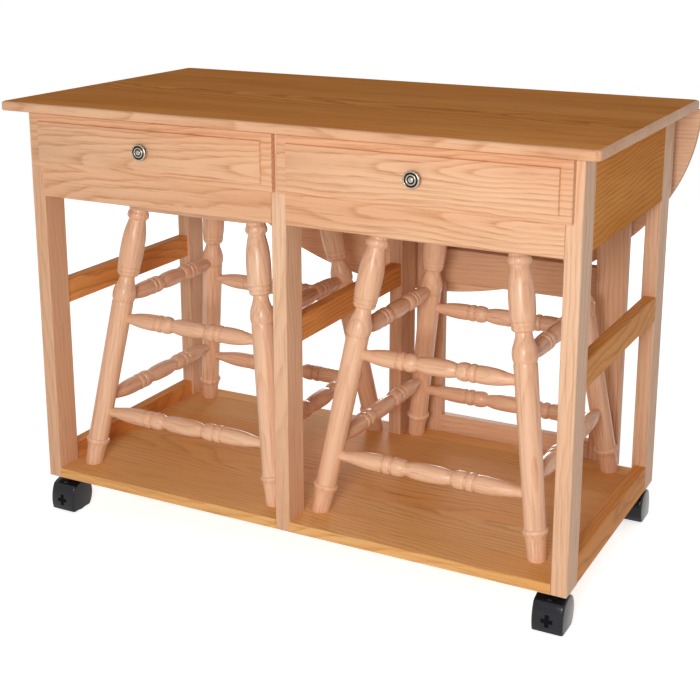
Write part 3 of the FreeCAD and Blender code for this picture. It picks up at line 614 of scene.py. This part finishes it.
class BarOakSettings(bpy.types.PropertyGroup):
    """How the oak's grain is drawn. Real rings are 2 to 3 mm apart, too close to show from here."""
    ring_gap: length("Ring gap", "Mean distance between growth rings", 9.5, 1.0)
    ring_depth: bpy.props.FloatProperty(
        name="Ring depth", description="Strength of the growth rings' lines", default=0.85,
        min=0.0, max=2.0, subtype="FACTOR")
    pore_depth: bpy.props.FloatProperty(
        name="Pore depth", description="Strength of the pores' dashes", default=0.34,
        min=0.0, max=1.0, subtype="FACTOR")
    lean: bpy.props.FloatProperty(
        name="Lean", description="Angle between the boards and the log's axis", default=0.055,
        subtype="ANGLE", unit="ROTATION")
    bend: length("Bend", "How far the log's axis wanders from a straight line", 50)


class BarTurningSettings(bpy.types.PropertyGroup):
    """How finely the turned pieces are drawn."""
    leg_segments: count("Leg segments", "Faces round a stool's leg", 40)
    stretcher_segments: count("Stretcher segments", "Faces round a stretcher", 32)
    knob_segments: count("Knob segments", "Faces round a drawer knob", 48)
    wheel_segments: count("Wheel segments", "Faces round a caster's wheel", 64)


class BarStageSettings(bpy.types.PropertyGroup):
    """Lamps and room round the bar."""
    key_power: power("Key lamp", "Power of the large lamp by the camera", 44.0)
    fill_power: power("Fill lamp", "Power of the lamp at the right", 4.0)
    back_power: power("Back lamp", "Power of the lamp behind the bar", 26.0)
    room_light: bpy.props.FloatProperty(
        name="Room light", description="Strength of the even light from the white room", default=0.33,
        min=0.0)


class BAR_OT_frame_boards(bpy.types.Operator):
    """Give the posts, rails, shelf, gate and drawer boxes their oak"""
    bl_idname = "bar.frame_boards"
    bl_label = "Frame Boards"

    def execute(self, context):
        # Planed oak under clear lacquer: pale boards with a soft sheen over straight grain
        post = material("lacquered_oak_post", oak, ALONG_Z, "post", HEARTS["post"])
        cross = material("lacquered_oak_cross_rail", oak, ALONG_X, "post", HEARTS["cross_rail"])
        # The oak across the ends is more orange and golden as painted shade, and the shelf's is brighter
        # and more golden as painted light; the lacquer on both is nearly dull
        rail = material("lacquered_oak_side_rail", oak, ALONG_Y, "rail", HEARTS["side_rail"], **SATIN)
        apron = material("lacquered_oak_side_apron", oak, ALONG_Y, "rail", HEARTS["apron"], **DULL)
        shelf = material("lacquered_oak_shelf", oak, ALONG_X, "shelf", HEARTS["shelf"],
                         SHELF_STRIP * MM, **SATIN)
        # Planed wood without lacquer inside the drawers: the same grain, dull
        inside = material("planed_drawer_wood", oak, ALONG_X, "post", HEARTS["drawer_wood"], gloss=0.6)
        for side in ("left", "centre", "right"):
            dress("post_front_" + side, post)
            dress("post_rear_" + side, post)
            dress("apron_" + side, apron)
            dress("mid_rail_" + side, rail)
        for side in ("left", "right"):
            front = material("lacquered_oak_front_rail_" + side, oak, ALONG_X, "face",
                             HEARTS["front_rail_" + side])
            dress("front_rail_" + side, front)
            dress("lower_rail_" + side, rail)
            for piece in ("drawer_sides_", "drawer_back_", "drawer_bottom_"):
                dress(piece + side, inside)
        for name in ("gate_hanging_strip", "gate_hinge_stile", "gate_free_stile"):
            dress(name, post)
        for name in ("back_apron", "gate_rails"):
            dress(name, cross)
        dress("base_shelf", shelf)
        dress("drawer_runners", inside)
        return {"FINISHED"}


class BAR_OT_metalwork(bpy.types.Operator):
    """Give the hinges, caster plates and axles their metal"""
    bl_idname = "bar.metalwork"
    bl_label = "Hinges and Plates"

    def execute(self, context):
        # Zinc-plated steel: cool grey metal with blurred reflections
        steel = material("zinc_plated_steel", plain, context.scene.bar_colours.steel,
                         roughness=0.32, metallic=1.0)
        for name in ("leaf_hinge_top_plates", "leaf_hinge_leaf_plates", "leaf_hinge_pins",
                     "gate_hinge_strip_plates", "gate_hinge_gate_plates", "gate_hinge_pins",
                     "caster_plates"):
            dress(name, steel)
        for end in ("front", "rear"):
            for side in ("left", "right"):
                dress("caster_axle_" + end + "_" + side, steel)
        return {"FINISHED"}


class BAR_OT_top_board(bpy.types.Operator):
    """Build the edge-glued top with its rounded rim"""
    bl_idname = "bar.top_board"
    bl_label = "Top Board"

    def execute(self, context):
        sizes = context.scene.bar_sizes
        low, high = span("top_board")
        work = slab(low, high, sizes.top_corner, CORNER_STEPS, sizes.top_round, sizes.top_under)
        # Edge-glued oak, darker and browner than the fronts as painted shade on the top's face: strips
        # that differ a little in tint, and hardly any shine
        face = material("stained_oak_top", oak, ALONG_X, "top", HEARTS["top"], TOP_STRIP * MM, **DULL)
        # Its edges are pale and softly shining, like the fronts
        edge = material("lacquered_oak_top_edge", oak, ALONG_X, "face", HEARTS["top_edge"])
        for polygon in work.faces:
            polygon.material_index = 0 if polygon.calc_center_median().z > high.z - NEAR else 1
        finish_piece("top_board_visual", work, [face, edge], "cart", ["top_board"])
        return {"FINISHED"}


class BAR_OT_drop_leaf(bpy.types.Operator):
    """Build the half-oval drop leaf with its rounded edge"""
    bl_idname = "bar.drop_leaf"
    bl_label = "Drop Leaf"

    def execute(self, context):
        low, high = span("drop_leaf")
        half, reach = (high.x - low.x) / 2, high.z - low.z
        work = bmesh.new()
        lay = (Matrix.Translation((0.0, low.y, high.z)) @ Matrix.Rotation(math.pi / 2, 4, "X")
               @ Matrix.Diagonal((half, reach, 1.0, 1.0)))
        bmesh.ops.create_circle(work, cap_ends=True, segments=LEAF_SEGMENTS, radius=1.0, matrix=lay)
        cut(work, work.faces[:], (0, 0, high.z), (0, 0, 1), True)
        made = bmesh.ops.extrude_face_region(work, geom=work.faces[:])
        bmesh.ops.translate(work, vec=(0, high.y - low.y, 0),
                            verts=[part for part in made["geom"] if isinstance(part, bmesh.types.BMVert)])
        rim = edges_where(work, lambda a, b: abs(a.y - b.y) < NEAR and min(a.z, b.z) < high.z - NEAR)
        round_edges(work, rim, context.scene.bar_sizes.leaf_round, ROUND_STEPS)
        # The outer face turns up when the leaf is raised, so it takes the top's tones with their painted
        # shade
        outer = material("stained_oak_leaf", oak, ALONG_X, "top", HEARTS["leaf_outside"], **DULL)
        # The inner face takes the stools' paler tones as painted light, since it lies in the top's shade;
        # long lines, and dull
        inner = material("lacquered_oak_leaf", oak, ALONG_X, "leg", HEARTS["leaf_inside"], **DULL)
        for polygon in work.faces:
            polygon.material_index = 0 if polygon.calc_center_median().y > high.y - NEAR else 1
        finish_piece("drop_leaf_visual", work, [outer, inner], "leaf", ["drop_leaf"])
        return {"FINISHED"}


class BAR_OT_drawer_fronts(bpy.types.Operator):
    """Build the two drawer fronts with their raised fields"""
    bl_idname = "bar.drawer_fronts"
    bl_label = "Drawer Fronts"

    def execute(self, context):
        sizes = context.scene.bar_sizes
        for side in ("left", "right"):
            low, high = span("drawer_front_" + side)
            middle = (low + high) / 2
            step = low.y + sizes.field_rise
            end, edge = sizes.field_end, sizes.field_edge
            work = bmesh.new()
            block(work, Vector((low.x, step, low.z)), high)
            for point, normal in (((low.x + end, 0, 0), (1, 0, 0)), ((high.x - end, 0, 0), (1, 0, 0)),
                                  ((0, 0, low.z + edge), (0, 0, 1)), ((0, 0, high.z - edge), (0, 0, 1))):
                face = [f for f in work.faces if abs(f.calc_center_median().y - step) < NEAR]
                cut(work, face, point, normal)
            spot = Vector((middle.x, step, middle.z))
            field = [f for f in work.faces if (f.calc_center_median() - spot).length < MM]
            crown = extrude(work, field, (0, -sizes.field_rise, 0))
            for vert in crown:
                vert.co.x += math.copysign(FIELD_SLOPE * MM, middle.x - vert.co.x)
                vert.co.z += math.copysign(FIELD_SLOPE * MM, middle.z - vert.co.z)
            crest = edges_where(work, lambda a, b: max(a.y, b.y) < low.y + NEAR)
            round_edges(work, crest, FIELD_ROUND * MM, UNDER_STEPS)
            rim = edges_where(
                work, lambda a, b: max(abs(a.y - step), abs(b.y - step)) < NEAR
                and (max(a.x, b.x) < low.x + NEAR or min(a.x, b.x) > high.x - NEAR
                     or max(a.z, b.z) < low.z + NEAR or min(a.z, b.z) > high.z - NEAR))
            round_edges(work, rim, sizes.front_round, FRONT_STEPS)
            # Flat-sawn oak under clear lacquer: a pinkish board with nested arches and a soft sheen
            face_oak = material("lacquered_oak_drawer_front_" + side, oak, ALONG_X, "face",
                                HEARTS["drawer_" + side])
            finish_piece("drawer_front_visual_" + side, work, [face_oak], "drawer_" + side,
                         ["drawer_front_" + side], crease=25.0)
        return {"FINISHED"}


class BAR_OT_drawer_knobs(bpy.types.Operator):
    """Turn the two ringed drawer knobs"""
    bl_idname = "bar.drawer_knobs"
    bl_label = "Drawer Knobs"

    def execute(self, context):
        # Cast pewter: warm grey metal, bright on its rings; between them dull, and dark with painted
        # shade
        colours = context.scene.bar_colours
        bright = material("aged_pewter", plain, colours.pewter, roughness=0.28, metallic=1.0)
        dark = material("aged_pewter_recess", plain, colours.pewter_painted_shade, roughness=0.5, metallic=1.0)
        segments = context.scene.bar_turning.knob_segments
        points = [(out * MM, radius * MM) for out, radius in smooth(KNOB_PROFILE, CURVE_STEPS)]
        for side in ("left", "right"):
            low, high = span("drawer_knob_" + side)
            centre = Vector(((low.x + high.x) / 2, high.y, (low.z + high.z) / 2))
            work = bmesh.new()
            spin_profile(work, points, centre, Vector((0, -1, 0)), segments)
            for face in work.faces:
                spot = (face.calc_center_median() - centre) / MM
                radius = math.hypot(spot.x, spot.z)
                sunk = KNOB_FACE < -spot.y < KNOB_BROW
                ringed = any(inner < radius < outer for inner, outer in KNOB_GROOVES)
                face.material_index = 1 if sunk and ringed else 0
            finish_piece("drawer_knob_visual_" + side, work, [bright, dark], "drawer_" + side,
                         ["drawer_knob_" + side], crease=50.0)
        return {"FINISHED"}


def stool_lines(side):
    """Foot and head points of a stool's four leg axes, set out round the middle of its CAD seat."""
    foot_z = span("stool_legs_" + side)[0].z
    low, high = span("stool_seat_" + side)
    middle = (low + high) / 2
    legs = {}
    for ix in (-1, 1):
        for iy in (-1, 1):
            foot = Vector((middle.x + ix * FOOT_SPREAD * MM, middle.y + iy * FOOT_SPREAD * MM, foot_z))
            head = Vector((middle.x + ix * HEAD_SPREAD * MM, middle.y + iy * HEAD_SPREAD * MM, low.z))
            legs[ix, iy] = (foot, head)
    return legs


class BAR_OT_stool_legs(bpy.types.Operator):
    """Turn the legs of both stools"""
    bl_idname = "bar.stool_legs"
    bl_label = "Stool Legs"

    def execute(self, context):
        segments = context.scene.bar_turning.leg_segments
        over = LEG_OVERRUN * MM
        for side in ("left", "right"):
            work = bmesh.new()
            materials = []
            for number, (foot, head) in enumerate(stool_lines(side).values()):
                way = head - foot
                points = [(share * way.length, radius * MM)
                          for share, radius in smooth(LEG_PROFILE, CURVE_STEPS)]
                shaft = [(-over, points[0][1])] + points + [(way.length + over, points[-1][1])]
                leg = bmesh.new()
                spin_profile(leg, shaft, foot, way, segments)
                for point, normal in ((foot, (0, 0, -1)), (head, (0, 0, 1))):
                    bmesh.ops.contextual_create(leg, geom=cut(leg, leg.faces[:], point, normal, True))
                for face in leg.faces:
                    face.material_index = number
                pour(leg, work)
                # Turned oak under a thicker lacquer, which catches the light on each bead. The grain
                # follows the splayed leg.
                turn = (0.0, math.pi / 2 - math.atan2(way.x, way.z),
                        -math.atan2(way.y, math.hypot(way.x, way.z)))
                heart = Vector(HEARTS["leg"]) + number * Vector(LEG_HEART_STEP)
                materials.append(material("lacquered_oak_leg_%d" % number, oak, turn, "leg", heart,
                                          **TURNED))
            finish_piece("stool_legs_visual_" + side, work, materials, "stool_" + side,
                         ["stool_legs_" + side], crease=50.0)
        return {"FINISHED"}


class BAR_OT_stool_stretchers(bpy.types.Operator):
    """Turn the eight stretchers of each stool"""
    bl_idname = "bar.stool_stretchers"
    bl_label = "Stool Stretchers"

    def execute(self, context):
        segments = context.scene.bar_turning.stretcher_segments
        # Turned oak under the legs' lacquer
        cross = material("lacquered_oak_stretcher_x", oak, ALONG_X, "leg", HEARTS["stretcher"], **TURNED)
        deep = material("lacquered_oak_stretcher_y", oak, ALONG_Y, "leg", HEARTS["stretcher"], **TURNED)
        half = [(share / 2, radius) for share, radius in STRETCHER_PROFILE]
        whole = half + [(1 - share, radius) for share, radius in reversed(half[:-1])]
        for side in ("left", "right"):
            legs = stool_lines(side)
            work = bmesh.new()
            bars = []
            for way in (-1, 1):
                bars += [((-1, way), (1, way), share, 0) for share in FRONT_STRETCHER_SHARES]
                bars += [((way, -1), (way, 1), share, 1) for share in SIDE_STRETCHER_SHARES]
            for first, second, share, number in bars:
                start = legs[first][0].lerp(legs[first][1], share)
                way = legs[second][0].lerp(legs[second][1], share) - start
                points = [(place * way.length, radius * MM)
                          for place, radius in smooth(whole, CURVE_STEPS)]
                verts = spin_profile(work, points, start, way, segments)
                for face in {face for vert in verts for face in vert.link_faces}:
                    face.material_index = number
            finish_piece("stool_stretchers_visual_" + side, work, [cross, deep], "stool_" + side,
                         ["stool_stretchers_" + side], crease=50.0)
        return {"FINISHED"}


class BAR_OT_stool_seats(bpy.types.Operator):
    """Build the stools' seats"""
    bl_idname = "bar.stool_seats"
    bl_label = "Stool Seats"

    def execute(self, context):
        # Edge-glued oak under clear lacquer: pale strips, a little glossier than the frame
        seat = material("lacquered_oak_seat", oak, ALONG_X, "leg", HEARTS["seat"],
                        SEAT_STRIP * MM, gloss=0.38)
        sizes = context.scene.bar_sizes
        for side in ("left", "right"):
            low, high = span("stool_seat_" + side)
            work = slab(low, high, sizes.seat_corner, SEAT_CORNER_STEPS,
                        sizes.seat_round, sizes.seat_under)
            finish_piece("stool_seat_visual_" + side, work, [seat], "stool_" + side,
                         ["stool_seat_" + side])
        return {"FINISHED"}


def hood_line(wall):
    """Side outline of a caster's hood about its axle, drawn in by a wall, from nose foot to tail foot."""
    line = []
    for points in (HOOD_NOSE, HOOD_CROWN, HOOD_TAIL):
        drawn = [(u - math.copysign(wall, u) if u else 0.0, z - wall if z > 0 else z) for u, z in points]
        line += arc(*drawn, HOOD_STEPS)
    return line + [drawn[-1]]


def hood_shell(work, centre, nose, half_width, wall):
    """One skin of the hood, open at its foot. Returns the edges round that foot."""
    ends = []
    for x in (centre.x - half_width, centre.x + half_width):
        line = [work.verts.new((x, centre.y + nose * u * MM, centre.z + z * MM))
                for u, z in hood_line(wall)]
        edges = [work.edges.new(pair) for pair in zip(line, line[1:])]
        ends.append((edges, work.edges.new((line[0], line[-1]))))
    (chain, foot), (other, far_foot) = ends
    bmesh.ops.bridge_loops(work, edges=chain + other)
    for edges, closing in ((chain, foot), (other, far_foot)):
        bmesh.ops.contextual_create(work, geom=edges + [closing])
    return [foot, far_foot]


class BAR_OT_casters(bpy.types.Operator):
    """Build the hooded twin-wheel casters"""
    bl_idname = "bar.casters"
    bl_label = "Casters"

    def execute(self, context):
        # Moulded black plastic: nearly black, with soft highlights along its rounded edges
        colours = context.scene.bar_colours
        black = material("moulded_black_plastic", plain, colours.hood_black,
                         roughness=0.22, speckle=0.1, shine=0.35)
        # The same plastic sunk in the nose, where nothing shines
        recess = material("moulded_black_recess", plain, colours.hood_black,
                          roughness=0.85, speckle=0.1, shine=0.1)
        # Moulded grey plastic of the wheels: dull from rolling
        tread = material("moulded_grey_plastic", plain, colours.wheel_grey,
                         roughness=0.45, speckle=0.1, shine=0.35)
        rounding = context.scene.bar_sizes.hood_round
        for end, nose in (("front", -1), ("rear", 1)):
            for side in ("left", "right"):
                self.hood(end + "_" + side, nose, [black, recess], rounding)
                self.wheels(end + "_" + side, tread, context.scene.bar_turning.wheel_segments)
        return {"FINISHED"}

    def hood(self, corner, nose, materials, rounding):
        """The hood with its cross, web and kingpin."""
        low, high = span("caster_hood_" + corner)
        axle_low, axle_high = span("caster_axle_" + corner)
        centre = (axle_low + axle_high) / 2
        half = (high.x - low.x) / 2
        work = bmesh.new()
        hood_shell(work, centre, nose, half, 0.0)
        cheeks = edges_where(work, lambda a, b: abs(a.x - b.x) < NEAR and max(a.z, b.z) > low.z + NEAR)
        round_edges(work, cheeks, rounding, ROUND_STEPS)
        for wide, tall in HOOD_CROSS:
            for point, normal in (((centre.x - wide * MM, 0, 0), (1, 0, 0)),
                                  ((centre.x + wide * MM, 0, 0), (1, 0, 0)),
                                  ((0, 0, centre.z - tall * MM), (0, 0, 1)),
                                  ((0, 0, centre.z + tall * MM), (0, 0, 1))):
                work.normal_update()
                front = [f for f in work.faces if abs(f.normal.y) > FACING and abs(f.normal.x) < ASIDE
                         and nose * (f.calc_center_median().y - centre.y) > 0]
                cut(work, front, point, normal)
        work.normal_update()
        sunk = []
        for face in work.faces:
            spot = (face.calc_center_median() - centre) / MM
            inside = any(abs(spot.x) < wide and abs(spot.z) < tall for wide, tall in HOOD_CROSS)
            if inside and nose * spot.y > WEB_HALF_LENGTH and abs(face.normal.y) > FACING:
                sunk.append(face)
        for vert in extrude(work, sunk, (0, -nose * HOOD_CROSS_DEPTH * MM, 0)):
            for face in vert.link_faces:
                face.material_index = 1
        skin = bmesh.new()
        hood_shell(skin, centre, nose, half - HOOD_WALL * MM, HOOD_WALL)
        pour(skin, work)
        rim = edges_where(work, lambda a, b: max(a.z, b.z) < low.z + NEAR)
        bmesh.ops.bridge_loops(work, edges=[edge for edge in rim if len(edge.link_faces) < 2])
        web = Vector((WEB_HALF_WIDTH, WEB_HALF_LENGTH, 0)) * MM
        block(work, centre - web - Vector((0, 0, WEB_DROP * MM)),
              centre + web + Vector((0, 0, WEB_RISE * MM)))
        foot = Vector((centre.x, centre.y - nose * KINGPIN_TRAIL * MM, centre.z + WEB_RISE * MM))
        spin_profile(work, [(0.0, KINGPIN_RADIUS * MM), (high.z - foot.z, KINGPIN_RADIUS * MM)], foot,
                     Vector((0, 0, 1)), KINGPIN_SEGMENTS)
        finish_piece("caster_hood_visual_" + corner, work, materials, "caster_" + corner,
                     ["caster_hood_" + corner], crease=40.0)

    def wheels(self, corner, tread, segments):
        """Two wheels with a hollow in their outer faces."""
        low, high = span("caster_wheels_" + corner)
        centre = (low + high) / 2
        radius = (high.z - low.z) / 2
        work = bmesh.new()
        outline = [(place * MM, radius - drop * MM) for place, drop in WHEEL_PROFILE]
        outline += [(WHEEL_WIDTH * MM, WHEEL_BORE * MM), (0.0, WHEEL_BORE * MM)]
        for way in (-1, 1):
            start = centre + Vector((way * WHEEL_INNER * MM, 0, 0))
            spin_ring(work, outline, start, Vector((way, 0, 0)), segments)
        finish_piece("caster_wheels_visual_" + corner, work, [tread], "wheels_" + corner,
                     ["caster_wheels_" + corner], crease=40.0)


class BAR_OT_stage(bpy.types.Operator):
    """Set up the white studio, its lamps and the camera"""
    bl_idname = "bar.stage"
    bl_label = "Studio"

    def execute(self, context):
        scene = context.scene
        stage = scene.bar_stage
        self.floor(scene)
        self.room(scene, stage.room_light)
        for name, setting, size, place in LAMPS:
            self.lamp(scene, name, getattr(stage, setting), size, place)
        self.camera(scene)
        scene.view_settings.view_transform = "Standard"
        return {"FINISHED"}

    def floor(self, scene):
        """A white floor that keeps the bar's shadow and looks as white as the room."""
        work = bmesh.new()
        bmesh.ops.create_grid(work, x_segments=1, y_segments=1, size=FLOOR_SIZE)
        mesh = bpy.data.meshes.new("studio_floor")
        work.to_mesh(mesh)
        work.free()
        floor = bpy.data.objects.new("studio_floor", mesh)
        scene.collection.objects.link(floor)
        # Matt white paint, which glows for the camera and in reflections so that it shows white there
        white, tree = new_material("white_studio_floor")
        diffuse = node(tree, "ShaderNodeBsdfDiffuse", None, {"Color": grey(FLOOR_WHITE)})
        glow = node(tree, "ShaderNodeEmission", None, {"Color": grey(1.0), "Strength": FLOOR_GLOW})
        both = node(tree, "ShaderNodeAddShader", None, {0: diffuse.outputs[0], 1: glow.outputs[0]})
        seen = node(tree, "ShaderNodeMixShader", None,
                    {0: self.direct_rays(tree), 1: diffuse.outputs[0], 2: both.outputs[0]})
        node(tree, "ShaderNodeOutputMaterial", None, {"Surface": seen.outputs[0]})
        give(floor, white)

    def room(self, scene, strength):
        """An evenly lit room that looks white to the camera and in reflections."""
        world = bpy.data.worlds.new("white_room")
        world.use_nodes = True
        tree = world.node_tree
        tree.nodes.clear()
        soft = node(tree, "ShaderNodeBackground", None,
                    {"Color": opaque(LAMP_TINT), "Strength": strength})
        white = node(tree, "ShaderNodeBackground", None, {"Color": grey(1.0), "Strength": 1.0})
        seen = node(tree, "ShaderNodeMixShader", None,
                    {0: self.direct_rays(tree), 1: soft.outputs[0], 2: white.outputs[0]})
        node(tree, "ShaderNodeOutputWorld", None, {"Surface": seen.outputs[0]})
        scene.world = world

    def direct_rays(self, tree):
        """One for rays from the camera, reflections and glass, and zero for soft light."""
        rays = node(tree, "ShaderNodeLightPath")
        seen = combine(tree, "MAXIMUM", rays.outputs["Is Camera Ray"], rays.outputs["Is Glossy Ray"])
        return combine(tree, "MAXIMUM", seen, rays.outputs["Is Transmission Ray"])

    def lamp(self, scene, name, power, size, place):
        """A square lamp aimed at the middle of the bar."""
        lamp = bpy.data.lights.new(name, "AREA")
        lamp.shape = "SQUARE"
        lamp.size = size
        lamp.energy = power
        lamp.color = LAMP_TINT
        lit = bpy.data.objects.new(name, lamp)
        lit.location = place
        aim = Vector(LAMP_AIM) - Vector(place)
        lit.rotation_euler = aim.to_track_quat("-Z", "Y").to_euler()
        scene.collection.objects.link(lit)

    def camera(self, scene):
        """The photograph's viewpoint."""
        camera = bpy.data.cameras.new("camera")
        camera.lens = CAMERA_LENS
        camera.sensor_width = CAMERA_SENSOR
        camera.shift_y = CAMERA_SHIFT
        camera.clip_end = CAMERA_CLIP
        eye = bpy.data.objects.new("camera", camera)
        eye.location = CAMERA_PLACE
        eye.rotation_euler = (math.radians(90 - CAMERA_TILT), 0.0, math.radians(CAMERA_TURN))
        scene.collection.objects.link(eye)
        scene.camera = eye


class BAR_PT_panel(bpy.types.Panel):
    """Buttons that build each piece"""
    bl_idname = "BAR_PT_panel"
    bl_label = "Mobile Bar"
    bl_space_type = "VIEW_3D"
    bl_region_type = "UI"
    bl_category = "Mobile Bar"

    def draw(self, context):
        for operator in OPERATORS:
            self.layout.operator(operator.bl_idname)


SETTINGS = (BarColourSettings, BarSizeSettings, BarOakSettings, BarTurningSettings, BarStageSettings)
OPERATORS = (BAR_OT_frame_boards, BAR_OT_metalwork, BAR_OT_top_board, BAR_OT_drop_leaf,
             BAR_OT_drawer_fronts, BAR_OT_drawer_knobs, BAR_OT_stool_legs, BAR_OT_stool_stretchers,
             BAR_OT_stool_seats, BAR_OT_casters, BAR_OT_stage)


def register():
    for item in SETTINGS + OPERATORS + (BAR_PT_panel,):
        bpy.utils.register_class(item)
    bpy.types.Scene.bar_colours = bpy.props.PointerProperty(type=BarColourSettings)
    bpy.types.Scene.bar_sizes = bpy.props.PointerProperty(type=BarSizeSettings)
    bpy.types.Scene.bar_oak = bpy.props.PointerProperty(type=BarOakSettings)
    bpy.types.Scene.bar_turning = bpy.props.PointerProperty(type=BarTurningSettings)
    bpy.types.Scene.bar_stage = bpy.props.PointerProperty(type=BarStageSettings)


def unregister():
    del bpy.types.Scene.bar_stage
    del bpy.types.Scene.bar_turning
    del bpy.types.Scene.bar_oak
    del bpy.types.Scene.bar_sizes
    del bpy.types.Scene.bar_colours
    for item in reversed(SETTINGS + OPERATORS + (BAR_PT_panel,)):
        bpy.utils.unregister_class(item)


def main():
    register()
    for build in (bpy.ops.bar.frame_boards, bpy.ops.bar.metalwork, bpy.ops.bar.top_board,
                  bpy.ops.bar.drop_leaf, bpy.ops.bar.drawer_fronts, bpy.ops.bar.drawer_knobs,
                  bpy.ops.bar.stool_legs, bpy.ops.bar.stool_stretchers, bpy.ops.bar.stool_seats,
                  bpy.ops.bar.casters, bpy.ops.bar.stage):
        build()


if __name__ == "__main__":
    main()
